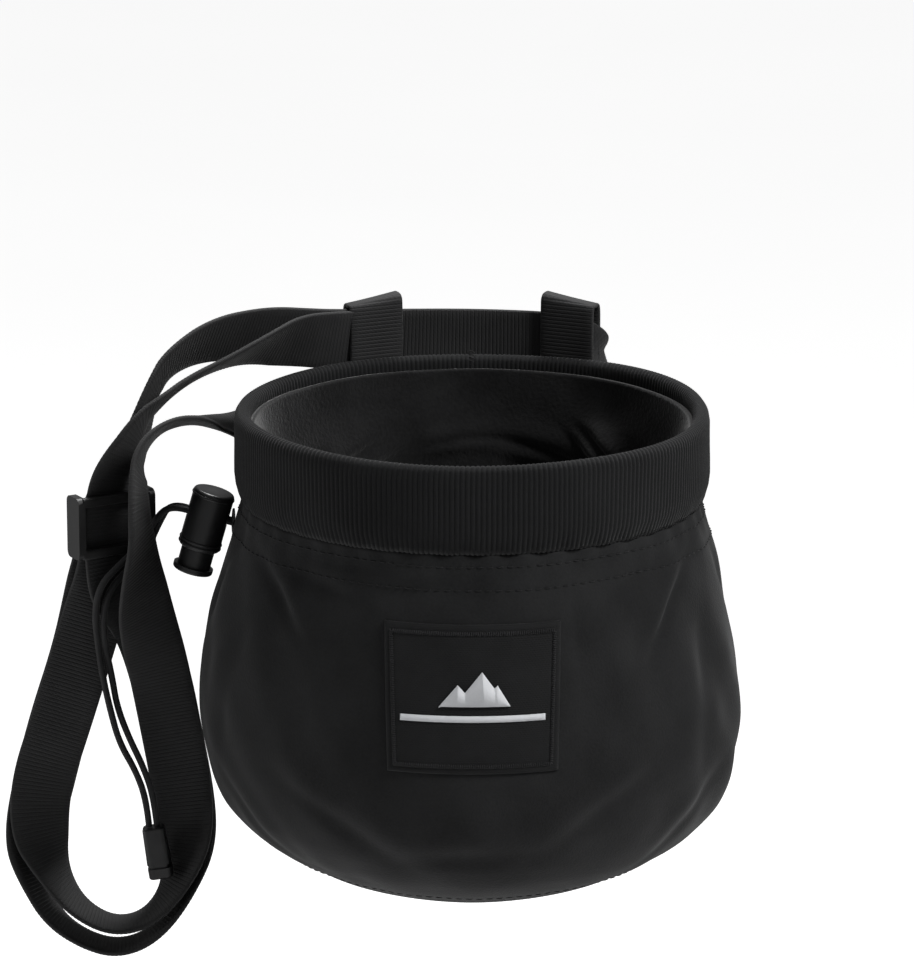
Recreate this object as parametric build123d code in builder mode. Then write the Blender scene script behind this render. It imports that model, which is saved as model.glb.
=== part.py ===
"""Climber's chalk bag on its waist belt, hanging as it is worn.

Frame: millimetres, +Z up, +X to the wearer's left hand side of the bag seen from its front, -Y the bag's
front. The origin is the middle of the belt, half way between the two rear belt loops, where the
wearer's waist holds the whole object.
"""
import os
from math import asin, cos, degrees, pi, radians, sin, tan

from build123d import *

os.makedirs("parts", exist_ok=True)

# ---- driving dimensions -------------------------------------------------------------------
BAG_HEIGHT = 136.5        # base to the top of the rolled rim
BAG_AXIS_SETBACK = 74.0   # bag axis in front of the belt
BASE_DROP = 140.0         # base below the belt's centre line
BASE_RADIUS = 50.0
BELLY_RADIUS = 80.9
NECK_RADIUS = 68.2
COLLAR_RADIUS = 70.5
NECK_HEIGHT = 110.0
SHELL_THICKNESS = 1.6
LINING_GAP = 4.6          # outer face of the lining behind the outer face of the shell
LINING_THICKNESS = 2.0
COLLAR_CLOTH = 1.4
HOOP_THICKNESS = 1.2
HOOP_CLEARANCE = 0.2

PATCH_WIDTH = 51.0
PATCH_BOTTOM = 49.0
PATCH_TOP = 91.0
PATCH_THICKNESS = 1.2

BELT_WIDTH = 18.5         # 19 mm (3/4 in) class webbing
BELT_THICKNESS = 1.4
LOOP_WIDTH = 17.5
LOOP_CLOTH = 1.2
LOOP_SLOT = 4.4
LOOP_ANGLE = 26.0         # each side of the back of the collar

GLIDE_CENTRE = (-107.5, -66.0, -41.0)
GLIDE_TURN = 30.0         # the slider's left end is turned forward
GLIDE_WIDTH = 25.5
GLIDE_INNER_WIDTH = 21.0
GLIDE_HEIGHT = 19.0
GLIDE_TRAVEL = 5.0

BUCKLE_CENTRE = (0.0, 8.0, -25.0)
BUCKLE_WIDTH = 26.0
BUCKLE_THICKNESS = 8.0
BUCKLE_WALL = 1.6

CORD_DIAMETER = 2.0
CORD_PITCH = 2.4          # centre distance of the two strands of the drawcord
LOCK_CENTRE = (-78.7, -70.5, -37.4)   # where the strands cross the barrel's axis
LOCK_TILT = 16.0          # the barrel's top leans towards the bag
LOCK_DIAMETER = 12.5
LOCK_ABOVE = 7.8
LOCK_BELOW = 10.4
PLUNGER_DIAMETER = 10.0
PLUNGER_TRAVEL = 3.5
PLUNGER_SHOWING = 7.4

CORD_END_DIAMETER = 7.2
CORD_END_LENGTH = 16.0

# ---- shared planes and profiles -----------------------------------------------------------
bag_axis = Axis((0, -BAG_AXIS_SETBACK, 0), (0, 0, 1))


def bag_plane(angle=0.0):
    """Upright half plane through the bag's axis; x is the radius, y the height over the base."""
    turn = radians(angle)
    return Plane(
        origin=(0, -BAG_AXIS_SETBACK, -BASE_DROP),
        x_dir=(cos(turn), sin(turn), 0),
        z_dir=(sin(turn), -cos(turn), 0),
    )


# Outside of the bag's wall from the base to the neck, as radius and height.
WALL = [
    (BASE_RADIUS, 0.0),
    (64.6, 9.0),
    (76.6, 24.0),
    (BELLY_RADIUS, 42.0),
    (78.4, 65.0),
    (71.8, 95.0),
    (NECK_RADIUS, NECK_HEIGHT),
]


def wall_radius(height):
    """Radius of the outside of the wall at a height, between the points of WALL."""
    for (low_r, low_z), (high_r, high_z) in zip(WALL, WALL[1:]):
        if height <= high_z:
            return low_r + (high_r - low_r) * (height - low_z) / (high_z - low_z)
    return NECK_RADIUS


def wall_band(outer_offset, thickness, bottom, top, angle=0.0, arc=360.0):
    """Layer that follows the bag's wall: a spline profile turned about the bag's axis."""
    heights = [bottom] + [z for _, z in WALL if bottom + 4 < z < top - 4] + [top]
    outer = [(wall_radius(z) + outer_offset, z) for z in heights]
    inner = [(r - thickness, z) for r, z in outer]
    with BuildPart() as band:
        with BuildSketch(bag_plane(angle)):
            with BuildLine():
                rising = Spline(*outer)
                falling = Spline(*inner)
                Line(rising @ 0, falling @ 0)
                Line(rising @ 1, falling @ 1)
            make_face()
        revolve(axis=bag_axis, revolution_arc=arc)
    return band.part


def disc(radius, bottom, thickness):
    """Round panel across the bag's axis."""
    with BuildPart() as panel:
        with BuildSketch(Plane((0, -BAG_AXIS_SETBACK, bottom - BASE_DROP))):
            Circle(radius)
        extrude(amount=thickness)
    return panel.part


def ring(corners, round_by=0.0):
    """Closed profile of radius and height pairs turned about the bag's axis."""
    with BuildPart() as turned:
        with BuildSketch(bag_plane()) as profile:
            with BuildLine():
                Polyline(*corners, close=True)
            make_face()
            if round_by:
                fillet(profile.vertices(), round_by)
        revolve(axis=bag_axis)
    return turned.part


def save(piece, name):
    """Label a finished piece and write its STEP file."""
    piece.label = name
    export_step(piece, f"parts/{name}.step")


# ---- bag: shell, base, lining --------------------------------------------------------------
save(wall_band(0, SHELL_THICKNESS, 0, NECK_HEIGHT), "body_shell")
save(disc(BASE_RADIUS - SHELL_THICKNESS - 0.3, 0, SHELL_THICKNESS), "base_panel")
save(
    ring([(43.5, 2.2), (47.0, 2.2), (47.6, 5.4), (44.4, 5.4)], round_by=0.5),
    "base_binding",
)
LINING_BOTTOM = 6.5
LINING_TOP = 119.0
save(
    wall_band(-LINING_GAP, LINING_THICKNESS, LINING_BOTTOM, LINING_TOP),
    "fleece_lining",
)
save(disc(wall_radius(LINING_BOTTOM) - LINING_GAP - LINING_THICKNESS - 0.3, LINING_BOTTOM, 2.0), "lining_base")

# ---- collar: ribbed band folded over a stiffening hoop --------------------------------------
COLLAR_BOTTOM = NECK_HEIGHT + 0.4
COLLAR_FOLD_BOTTOM = LINING_TOP + 1.0
HOOP_OUTER = COLLAR_RADIUS - COLLAR_CLOTH - HOOP_CLEARANCE
INNER_FOLD_OUTER = HOOP_OUTER - HOOP_THICKNESS - HOOP_CLEARANCE
INNER_FOLD_INNER = INNER_FOLD_OUTER - COLLAR_CLOTH
with BuildPart() as collar_band:
    with BuildSketch(bag_plane()) as collar_profile:
        with BuildLine():
            Polyline(
                (NECK_RADIUS + 0.9, COLLAR_BOTTOM),
                (COLLAR_RADIUS, COLLAR_BOTTOM + 7),
                (COLLAR_RADIUS, BAG_HEIGHT),
                (INNER_FOLD_INNER, BAG_HEIGHT),
                (INNER_FOLD_INNER, COLLAR_FOLD_BOTTOM),
                (INNER_FOLD_OUTER, COLLAR_FOLD_BOTTOM),
                (INNER_FOLD_OUTER, BAG_HEIGHT - COLLAR_CLOTH),
                (COLLAR_RADIUS - COLLAR_CLOTH, BAG_HEIGHT - COLLAR_CLOTH),
                (COLLAR_RADIUS - COLLAR_CLOTH, COLLAR_BOTTOM + 7),
                (NECK_RADIUS + 0.9 - COLLAR_CLOTH, COLLAR_BOTTOM),
                close=True,
            )
        make_face()
        rim_corners = collar_profile.vertices().group_by(Axis.Y)[-1]
        fillet(rim_corners, 2.0)
    revolve(axis=bag_axis)
save(collar_band.part, "collar_band")

HOOP_BOTTOM = COLLAR_BOTTOM + 8
HOOP_TOP = BAG_HEIGHT - COLLAR_CLOTH - 0.4
save(
    ring(
        [
            (HOOP_OUTER - HOOP_THICKNESS, HOOP_BOTTOM),
            (HOOP_OUTER, HOOP_BOTTOM),
            (HOOP_OUTER, HOOP_TOP),
            (HOOP_OUTER - HOOP_THICKNESS, HOOP_TOP),
        ],
        round_by=0.4,
    ),
    "rim_hoop",
)

# ---- label on the front -----------------------------------------------------------------------
PATCH_MIDDLE = (PATCH_BOTTOM + PATCH_TOP) / 2
patch_arc = degrees(PATCH_WIDTH / (wall_radius(PATCH_MIDDLE) + PATCH_THICKNESS))
patch_start = -90 - patch_arc / 2
PATCH_LIFT = 0.9
label_patch = wall_band(
    PATCH_LIFT + PATCH_THICKNESS, PATCH_THICKNESS, PATCH_BOTTOM, PATCH_TOP, patch_start, patch_arc
)
save(label_patch, "label_patch")


def raised_on_patch(sketch, height):
    """A flat outline carried straight back on to the curved face of the label."""
    skin = wall_band(
        PATCH_LIFT + PATCH_THICKNESS + 0.05 + height, height, PATCH_BOTTOM, PATCH_TOP, patch_start, patch_arc
    )
    with BuildPart() as raised:
        add(skin)
        extrude(sketch, amount=-60, mode=Mode.INTERSECT)
    return raised.part


label_front = Plane(
    origin=(0, -BAG_AXIS_SETBACK - BELLY_RADIUS - 10, PATCH_MIDDLE - BASE_DROP),
    x_dir=(1, 0, 0),
    z_dir=(0, -1, 0),
)
with BuildSketch(label_front) as border_outline:
    RectangleRounded(PATCH_WIDTH - 4.4, PATCH_TOP - PATCH_BOTTOM - 4, 2.0)
    RectangleRounded(PATCH_WIDTH - 6.4, PATCH_TOP - PATCH_BOTTOM - 6, 1.0, mode=Mode.SUBTRACT)
save(raised_on_patch(border_outline.sketch, 0.35), "label_border")

with BuildSketch(label_front) as motif_outline:
    with BuildLine():
        Polyline(
            (-13, -2.6), (-5.2, 8.2), (-1.4, 3.4), (2.6, 10.4), (13, -2.6),
            (9.6, -2.6), (2.6, 6.6), (-1.2, 0.2), (-5.2, 4.6), (-9.8, -2.6),
            close=True,
        )
    make_face()
    with Locations((0, -6.4)):
        SlotOverall(28, 1.8)
save(raised_on_patch(motif_outline.sketch, 0.35), "label_motif")


# ---- belt loops at the back of the collar -----------------------------------------------------
LOOP_TOP = 13.6
LOOP_SLOT_BOTTOM = -11.5
LOOP_BOTTOM = -26.0
LOOP_STANDOFF = 0.75      # lets the flat loop clear the round collar at its edges


def belt_loop(side):
    """Folded webbing loop that stands above the rim; its two legs are sewn to the collar."""
    turn = radians(90 - side * LOOP_ANGLE)
    outward = Vector(cos(turn), sin(turn), 0)
    foot = outward * (COLLAR_RADIUS + LOOP_STANDOFF) + Vector(0, -BAG_AXIS_SETBACK, 0)
    section = Plane(origin=foot, x_dir=outward, z_dir=outward.cross(Vector(0, 0, 1)))
    depth = 2 * LOOP_CLOTH + LOOP_SLOT
    with BuildPart() as loop:
        with BuildSketch(section) as outline:
            with BuildLine():
                Polyline(
                    (0, LOOP_BOTTOM), (2 * LOOP_CLOTH, LOOP_BOTTOM), (2 * LOOP_CLOTH, LOOP_SLOT_BOTTOM - 4),
                    (depth, LOOP_SLOT_BOTTOM + 1), (depth, LOOP_TOP), (0, LOOP_TOP),
                    close=True,
                )
            make_face()
            fillet(outline.vertices().group_by(Axis.Y)[-1], 2.2)
            with BuildLine():
                Polyline(
                    (LOOP_CLOTH, LOOP_SLOT_BOTTOM - 2), (depth - LOOP_CLOTH, LOOP_SLOT_BOTTOM + 2),
                    (depth - LOOP_CLOTH, LOOP_TOP - LOOP_CLOTH), (LOOP_CLOTH, LOOP_TOP - LOOP_CLOTH),
                    close=True,
                )
            make_face(mode=Mode.SUBTRACT)
        extrude(amount=LOOP_WIDTH / 2, both=True)
    return loop.part, Plane(origin=foot + outward * 2 * LOOP_CLOTH, x_dir=(0, 0, 1), z_dir=outward)


bartack_groups = []
for side, side_name in ((-1, "left"), (1, "right")):
    loop_piece, loop_back = belt_loop(side)
    save(loop_piece, f"belt_loop_{side_name}")
    with BuildPart() as bartacks:
        with BuildSketch(loop_back.offset(0.05)):
            with Locations((LOOP_BOTTOM + 3, 0), (LOOP_BOTTOM + 8, 0)):
                RectangleRounded(2.0, LOOP_WIDTH - 4, 0.8)
        extrude(amount=0.5)
    bartack_groups += list(bartacks.part.solids())
save(Compound(children=bartack_groups), "loop_bartacks")


# ---- belt webbing ------------------------------------------------------------------------------
def smooth_route(points, steps):
    """Quadratic curve that starts and ends at the route's ends and is drawn to its points."""
    route = [Vector(*p) for p in points]
    last = len(route) - 2
    places = []
    for i in range(1, last + 1):
        start = route[0] if i == 1 else (route[i - 1] + route[i]) * 0.5
        end = route[-1] if i == last else (route[i] + route[i + 1]) * 0.5
        for step in range(steps + (i == last)):
            t = step / steps
            spot = start * (1 - t) ** 2 + route[i] * (2 * t * (1 - t)) + end * t**2
            heading = (route[i] - start) * (1 - t) + (end - route[i]) * t
            places.append((spot, heading))
    return places


def webbing(name, stations, steps=3):
    """Flat strap through stations of a place and the direction of its width."""
    places = smooth_route([place for place, _ in stations], steps)
    edges = smooth_route([width for _, width in stations], steps)
    with BuildPart() as strap:
        for (spot, heading), (width, _) in zip(places, edges):
            along = heading.normalized()
            across = (width - along * width.dot(along)).normalized()
            with BuildSketch(Plane(origin=spot, x_dir=across, z_dir=along)):
                Rectangle(BELT_WIDTH, BELT_THICKNESS)
        loft(ruled=True)
    length = sum((b - a).length for (a, _), (b, _) in zip(places, places[1:]))
    ratio = strap.part.volume / (length * BELT_WIDTH * BELT_THICKNESS)
    print(f"{name}: length {length:.1f} mm, volume over section times length {ratio:.3f}")
    save(strap.part, name)
    return length


UP = (0, 0, 1)
GLIDE_ACROSS = (-cos(radians(GLIDE_TURN)), -sin(radians(GLIDE_TURN)), 0)
GLIDE_REAR = Vector(-sin(radians(GLIDE_TURN)), cos(radians(GLIDE_TURN)), 0)

# From the buckle's insert, round the right-hand side, through both loops and down to the slider.
REAR_RUN = [
    ((21.0, 8.0, -25.0), (0, 0, -1)),
    ((30.0, 5.0, -25.0), (0, 0.1, -1)),
    ((41.0, 0.0, -22.0), (0.2, 0.5, -0.85)),
    ((49.5, -6.0, -13.0), (0.2, 1, -0.1)),
    ((48.5, -11.0, -3.0), (0.2, 0.8, 0.6)),
    ((41.5, -11.5, 0.0), (0, 0.1, 1)),
    ((24.0, -2.9, 0.0), UP),
    ((0.0, 1.0, 0.0), UP),
    ((-24.0, -1.6, 0.5), UP),
    ((-42.4, -10.4, 2.5), (0, -0.1, 1)),
    ((-52.0, -15.6, 4.5), (0, -0.3, 1)),
    ((-64.0, -25.0, 7.5), (0, -0.42, 1)),
    ((-80.0, -38.0, 8.5), (-0.1, -0.6, 0.8)),
    ((-91.0, -48.0, 5.0), (-0.3, -1, 0.45)),
    ((-96.0, -54.0, -3.0), (-0.35, -1, 0.2)),
    ((-101.0, -58.0, -14.0), (-0.6, -0.9, 0.2)),
    ((-106.0, -59.0, -24.0), (-0.8, -0.6, 0.1)),
    ((-111.5, -58.8, -34.0), GLIDE_ACROSS),
    ((-112.0, -58.8, -42.0), GLIDE_ACROSS),
]
# Left leg, the outer of the two hanging turns, right leg, and up through the slider.
OUTER_LOOP = [
    ((-112.0, -58.8, -42.0), GLIDE_ACROSS),
    ((-112.5, -58.8, -52.0), GLIDE_ACROSS),
    ((-114.0, -59.0, -67.0), (-1, 0, 0.3)),
    ((-118.0, -60.0, -84.0), (-1, 0, 0.32)),
    ((-125.0, -60.0, -105.0), (-1, 0, 0.3)),
    ((-130.0, -61.0, -124.0), (-1, -0.05, 0.2)),
    ((-134.0, -63.0, -140.0), (-1, -0.45, 0)),
    ((-134.0, -65.0, -157.0), (-0.55, -1, -0.05)),
    ((-125.0, -67.0, -170.0), (-0.2, -1, 0)),
    ((-112.0, -68.0, -174.5), (0, -1, 0)),
    ((-99.0, -66.0, -174.0), (0.2, -1, 0)),
    ((-88.0, -61.0, -163.0), (0.6, -1, 0)),
    ((-86.0, -55.0, -146.0), (1, -0.35, 0)),
    ((-88.0, -51.0, -130.0), (1, 0, 0.1)),
    ((-91.0, -51.0, -113.0), (1, 0, 0.18)),
    ((-94.5, -55.0, -91.0), (1, 0.1, 0.25)),
    ((-99.5, -60.5, -73.0), (1, 0.3, 0.2)),
    ((-106.5, -65.6, -62.0), (0.87, 0.5, 0)),
    ((-107.5, -66.0, -52.0), (0.87, 0.5, 0)),
    ((-107.5, -66.0, -38.0), (0.87, 0.5, 0)),
    ((-107.5, -66.0, -28.0), (0.87, 0.5, 0)),
]
# Loose end of the belt, back up beside the rear run and tucked in the left loop.
TAIL = [
    ((-107.5, -66.0, -28.0), (0.87, 0.5, 0)),
    ((-107.0, -65.5, -21.0), (0.8, 0.6, 0)),
    ((-99.5, -61.0, -13.0), (0.5, 0.9, -0.2)),
    ((-93.0, -54.5, -7.5), (0.2, 1, -0.3)),
    ((-85.0, -45.5, -1.5), (0.1, 1, -0.4)),
    ((-75.0, -37.0, 2.0), (0.1, 0.9, -0.6)),
    ((-63.0, -28.5, 4.0), (0, 0.6, -0.8)),
    ((-51.0, -18.6, 3.5), (0, 0.3, -1)),
    ((-41.0, -12.2, 2.2), (0, 0.1, -1)),
    ((-26.0, -4.7, 1.0), (0, 0, -1)),
]
# From the sewn eye on the slider's bar, down the left leg, round the inner turn and up in front.
INNER_LOOP = [
    ((-109.3, -63.0, -50.4), GLIDE_ACROSS),
    ((-110.0, -62.5, -59.0), (-1, -0.3, 0.2)),
    ((-114.0, -61.8, -71.0), (-1, 0, 0.3)),
    ((-118.5, -62.4, -86.0), (-1, 0, 0.32)),
    ((-124.5, -62.8, -105.0), (-1, 0, 0.3)),
    ((-130.0, -63.8, -123.0), (-1, -0.05, 0.2)),
    ((-133.0, -66.0, -139.0), (-1, -0.3, 0)),
    ((-132.5, -68.0, -152.0), (-0.6, -1, 0)),
    ((-124.5, -69.5, -163.0), (-0.3, -1, 0)),
    ((-110.5, -70.5, -167.5), (0, -1, 0)),
    ((-97.0, -69.0, -166.0), (0.3, -1, 0)),
    ((-87.5, -65.0, -156.0), (0.7, -1, 0)),
    ((-86.0, -60.0, -142.0), (1, -0.25, 0)),
    ((-88.5, -55.5, -126.0), (1, 0, 0.1)),
    ((-91.5, -55.0, -109.0), (1, 0, 0.18)),
    ((-94.5, -59.5, -89.0), (1, 0.1, 0.25)),
    ((-98.0, -67.0, -70.0), (0.9, 0.5, 0.2)),
    ((-98.5, -76.0, -55.0), (0.7, 0.8, 0.1)),
    ((-97.0, -79.5, -42.0), (0.45, 1, 0)),
    ((-97.0, -79.0, -34.0), (0.4, 1, -0.1)),
]
# On past the slider and behind the bag to the buckle's socket.
BACK_RUN = [
    ((-97.0, -79.0, -34.0), (0.4, 1, -0.1)),
    ((-97.0, -78.5, -27.0), (0.3, 1, -0.1)),
    ((-98.0, -73.0, -18.0), (0.1, 1, -0.2)),
    ((-93.5, -63.5, -12.5), (-0.1, 1, -0.3)),
    ((-85.5, -53.0, -11.5), (0, 1, -0.3)),
    ((-77.0, -44.0, -14.5), (0, 1, -0.15)),
    ((-68.5, -35.5, -19.0), (0, 1, 0.15)),
    ((-61.0, -25.0, -23.0), (0, 0.8, 0.6)),
    ((-52.0, -14.0, -25.0), (0, 0.2, 1)),
    ((-40.0, -2.5, -26.0), (0, 0, 1)),
    ((-29.0, 5.0, -25.5), (0, 0, 1)),
    ((-21.0, 8.0, -25.0), (0, 0, 1)),
]
belt_length = sum(
    webbing(name, stations)
    for name, stations in (
        ("belt_rear_run", REAR_RUN),
        ("belt_outer_loop", OUTER_LOOP),
        ("belt_tail", TAIL),
        ("belt_inner_loop", INNER_LOOP),
        ("belt_back_run", BACK_RUN),
    )
)
print(f"belt length in all {belt_length:.0f} mm")

# ---- slider on the belt, and the belt's sewn eye on its bar -------------------------------------
glide_side = Plane(
    origin=GLIDE_CENTRE,
    x_dir=(GLIDE_REAR.X, GLIDE_REAR.Y, 0),
    z_dir=(cos(radians(GLIDE_TURN)), sin(radians(GLIDE_TURN)), 0),
)
GLIDE_FRONT = -3.5
GLIDE_BAR = 2.2
CENTRE_BAR = (3.5, 2.4, 3.6)          # middle, thickness and height of the rear bar
with BuildPart() as tri_glide:
    with BuildSketch(glide_side) as end_plate:
        with Locations(((GLIDE_FRONT + CENTRE_BAR[0] + CENTRE_BAR[1] / 2) / 2, 0)):
            RectangleRounded(CENTRE_BAR[0] + CENTRE_BAR[1] / 2 - GLIDE_FRONT, GLIDE_HEIGHT, 2.0)
    extrude(amount=GLIDE_WIDTH / 2, both=True)
    with BuildSketch(glide_side):
        with Locations((0, 0)):
            Rectangle(20, GLIDE_HEIGHT + 2)
    extrude(amount=GLIDE_INNER_WIDTH / 2, both=True, mode=Mode.SUBTRACT)
    with BuildSketch(glide_side):
        front_bar = GLIDE_HEIGHT / 2 - 1.5
        with Locations((GLIDE_FRONT + GLIDE_BAR / 2, front_bar), (GLIDE_FRONT + GLIDE_BAR / 2, -front_bar)):
            RectangleRounded(GLIDE_BAR, 3.0, 0.8)
        with Locations((CENTRE_BAR[0], 0)):
            RectangleRounded(CENTRE_BAR[1], CENTRE_BAR[2], 0.8)
    extrude(amount=GLIDE_INNER_WIDTH / 2 + 0.5, both=True)
save(tri_glide.part, "tri_glide")

EYE_CLOTH = 0.9
EYE_ROOM = 3.2
with BuildPart() as belt_end_eye:
    eye_top = CENTRE_BAR[2] / 2 + 0.4
    eye_height = eye_top + GLIDE_TRAVEL + CENTRE_BAR[2] / 2 + 0.6
    with BuildSketch(glide_side):
        with Locations((CENTRE_BAR[0], eye_top - eye_height / 2)):
            RectangleRounded(EYE_ROOM + 2 * EYE_CLOTH, eye_height + 2 * EYE_CLOTH, 1.8)
            RectangleRounded(EYE_ROOM, eye_height, 1.0, mode=Mode.SUBTRACT)
    extrude(amount=BELT_WIDTH / 2, both=True)
save(belt_end_eye.part, "belt_end_eye")

# ---- side-release buckle behind the bag ------------------------------------------------------------
SOCKET_LEFT = -20.0
SOCKET_MOUTH = 5.0
INSERT_RIGHT = 20.0
buckle_plan = Plane(origin=BUCKLE_CENTRE, x_dir=(1, 0, 0), z_dir=(0, 1, 0))
CAVITY_HEIGHT = BUCKLE_THICKNESS - 2 * BUCKLE_WALL
CAVITY_WIDTH = BUCKLE_WIDTH - 2 * BUCKLE_WALL
CAVITY_LEFT = -11.0
BUCKLE_BAR = 2.6
WINDOW = (-6.0, 0.0)                   # each side window of the socket, along its length
PRONG_THICKNESS = 2.2
PRONG_DEPTH = 3.6
PRONG_PIVOT_X = 8.5
PRONG_OFFSET = 8.4                      # middle of each prong from the buckle's centre line
BARB = 1.5

with BuildPart() as buckle_socket:
    with BuildSketch(buckle_plan):
        with Locations(((SOCKET_LEFT + SOCKET_MOUTH) / 2, 0)):
            RectangleRounded(SOCKET_MOUTH - SOCKET_LEFT, BUCKLE_WIDTH, 3.5)
    extrude(amount=BUCKLE_THICKNESS / 2, both=True)
    fillet(buckle_socket.faces().filter_by(Axis.Y).edges(), 1.4)
    with BuildSketch(buckle_plan):
        with Locations(((CAVITY_LEFT + SOCKET_MOUTH + 1) / 2, 0)):
            Rectangle(SOCKET_MOUTH + 1 - CAVITY_LEFT, CAVITY_WIDTH)
    extrude(amount=CAVITY_HEIGHT / 2, both=True, mode=Mode.SUBTRACT)
    with BuildSketch(buckle_plan):
        with Locations(((WINDOW[0] + WINDOW[1]) / 2, 0)):
            Rectangle(WINDOW[1] - WINDOW[0], BUCKLE_WIDTH + 2)
    extrude(amount=CAVITY_HEIGHT / 2, both=True, mode=Mode.SUBTRACT)
    with BuildSketch(buckle_plan):
        with Locations((SOCKET_LEFT + BUCKLE_BAR + 1.8, 0)):
            Rectangle(3.6, BELT_WIDTH + 1)
    extrude(amount=BUCKLE_THICKNESS, both=True, mode=Mode.SUBTRACT)
save(buckle_socket.part, "buckle_socket")

TONGUE_LEFT = -8.0
TONGUE_WIDTH = 4.0
with BuildPart() as buckle_insert:
    with BuildSketch(buckle_plan) as insert_outline:
        with Locations(((SOCKET_MOUTH + 0.6 + INSERT_RIGHT) / 2, 0)):
            RectangleRounded(INSERT_RIGHT - SOCKET_MOUTH - 0.6, BUCKLE_WIDTH, 3.0)
    extrude(amount=BUCKLE_THICKNESS / 2, both=True)
    fillet(buckle_insert.faces().filter_by(Axis.Y).edges(), 1.4)
    with BuildSketch(buckle_plan):
        with Locations(((TONGUE_LEFT + SOCKET_MOUTH + 1) / 2, 0)):
            Rectangle(SOCKET_MOUTH + 1 - TONGUE_LEFT, TONGUE_WIDTH)
    extrude(amount=PRONG_DEPTH / 2, both=True)
    with BuildSketch(buckle_plan):
        with Locations((INSERT_RIGHT - BUCKLE_BAR - 1.8, 0)):
            Rectangle(3.6, BELT_WIDTH + 1)
    extrude(amount=BUCKLE_THICKNESS, both=True, mode=Mode.SUBTRACT)
    for side in (-1, 1):
        with BuildSketch(buckle_plan):
            with Locations(((SOCKET_MOUTH + 10.4) / 2, side * PRONG_OFFSET)):
                Rectangle(10.4 - SOCKET_MOUTH, PRONG_THICKNESS + 4.2)
        extrude(amount=(PRONG_DEPTH + 0.6) / 2, both=True, mode=Mode.SUBTRACT)
save(buckle_insert.part, "buckle_insert")

for side, side_name in ((-1, "upper"), (1, "lower")):
    with BuildPart() as prong:
        with BuildSketch(buckle_plan):
            with BuildLine():
                inner = side * (PRONG_OFFSET - PRONG_THICKNESS / 2)
                outer = side * (PRONG_OFFSET + PRONG_THICKNESS / 2)
                Polyline(
                    (PRONG_PIVOT_X, inner), (-8.5, inner), (-8.5, outer), (-5.4, outer + side * (BARB + 0.9)),
                    (-0.6, outer + side * (BARB + 0.9)), (-0.6, outer), (PRONG_PIVOT_X, outer),
                    close=True,
                )
            make_face()
            with Locations((PRONG_PIVOT_X, side * PRONG_OFFSET)):
                Circle(PRONG_THICKNESS / 2)
        extrude(amount=PRONG_DEPTH / 2, both=True)
    save(prong.part, f"buckle_prong_{side_name}")

# ---- drawcord, its eyelets and what is on it --------------------------------------------------------
EYELET_HEIGHT = NECK_HEIGHT - 9.4
EYELET_RADIUS = 4.0
EYELET_HOLE = 2.6
EYELET_RIM = 0.5
neck_cord_radius = wall_radius(NECK_HEIGHT - 3) - SHELL_THICKNESS - CORD_DIAMETER / 2 - 0.3
with BuildPart() as neck_cord:
    opening_turn = degrees(asin(EYELET_RADIUS / neck_cord_radius))
    with BuildSketch(bag_plane(180 + opening_turn)):
        with Locations((neck_cord_radius, NECK_HEIGHT - 3)):
            Circle(CORD_DIAMETER / 2)
    revolve(axis=bag_axis, revolution_arc=360 - 2 * opening_turn)
save(neck_cord.part, "neck_cord")

eyelet_turn = asin((LOCK_CENTRE[1] + BAG_AXIS_SETBACK) / wall_radius(EYELET_HEIGHT))
eyelet_outward = Vector(-cos(eyelet_turn), sin(eyelet_turn), 0)
with BuildPart() as drawcord_eyelet:
    eyelet_face = Plane(
        origin=eyelet_outward * (wall_radius(EYELET_HEIGHT) + 0.5)
        + Vector(0, -BAG_AXIS_SETBACK, EYELET_HEIGHT - BASE_DROP),
        x_dir=(0, 0, 1),
        z_dir=eyelet_outward,
    )
    with BuildSketch(eyelet_face):
        Circle(EYELET_RADIUS)
        Circle(EYELET_HOLE, mode=Mode.SUBTRACT)
    extrude(amount=EYELET_RIM)
    fillet(drawcord_eyelet.faces().sort_by(Axis.X)[0].edges(), 0.25)
save(drawcord_eyelet.part, "drawcord_eyelet")

# Each strand: out of its eyelet, across the barrel lock, behind the belt and down to the cord end.
FRONT_STRAND = [
    (-71.3, -71.7, -39.4),
    (-80.5, -71.8, -36.7),
    (-90.0, -71.6, -34.1),
    (-94.5, -69.4, -39.0),
    (-98.5, -68.9, -46.5),
    (-105.0, -71.2, -52.5),
    (-111.0, -72.0, -58.5),
    (-113.0, -70.0, -67.5),
    (-112.4, -67.5, -78.0),
    (-111.0, -67.5, -89.0),
    (-109.0, -67.5, -99.0),
    (-106.5, -67.0, -109.5),
    (-101.5, -66.5, -119.0),
    (-98.6, -66.4, -128.0),
    (-97.9, -66.2, -136.4),
]
REAR_STRAND = [
    (-71.3, -69.3, -39.4),
    (-80.5, -69.2, -36.7),
    (-90.0, -68.7, -34.1),
    (-93.6, -66.8, -41.0),
    (-97.0, -66.9, -48.8),
    (-103.0, -69.0, -54.8),
    (-108.8, -70.2, -61.0),
    (-110.6, -69.3, -69.5),
    (-110.2, -67.4, -79.0),
    (-108.4, -66.2, -89.0),
    (-107.0, -66.3, -98.5),
    (-103.6, -66.6, -108.0),
    (-99.2, -66.0, -118.0),
    (-96.3, -66.0, -127.5),
    (-95.5, -66.2, -136.2),
]


def corner_radii(route):
    """Radius at each inner point: 0.45 of the shorter run over the tangent of half the turn."""
    radii = []
    for before, here, after in zip(route, route[1:], route[2:]):
        arriving = Vector(*here) - Vector(*before)
        leaving = Vector(*after) - Vector(*here)
        half_turn = radians(arriving.get_angle(leaving)) / 2
        radii.append(0.45 * min(arriving.length, leaving.length) / tan(half_turn))
    return radii


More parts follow.
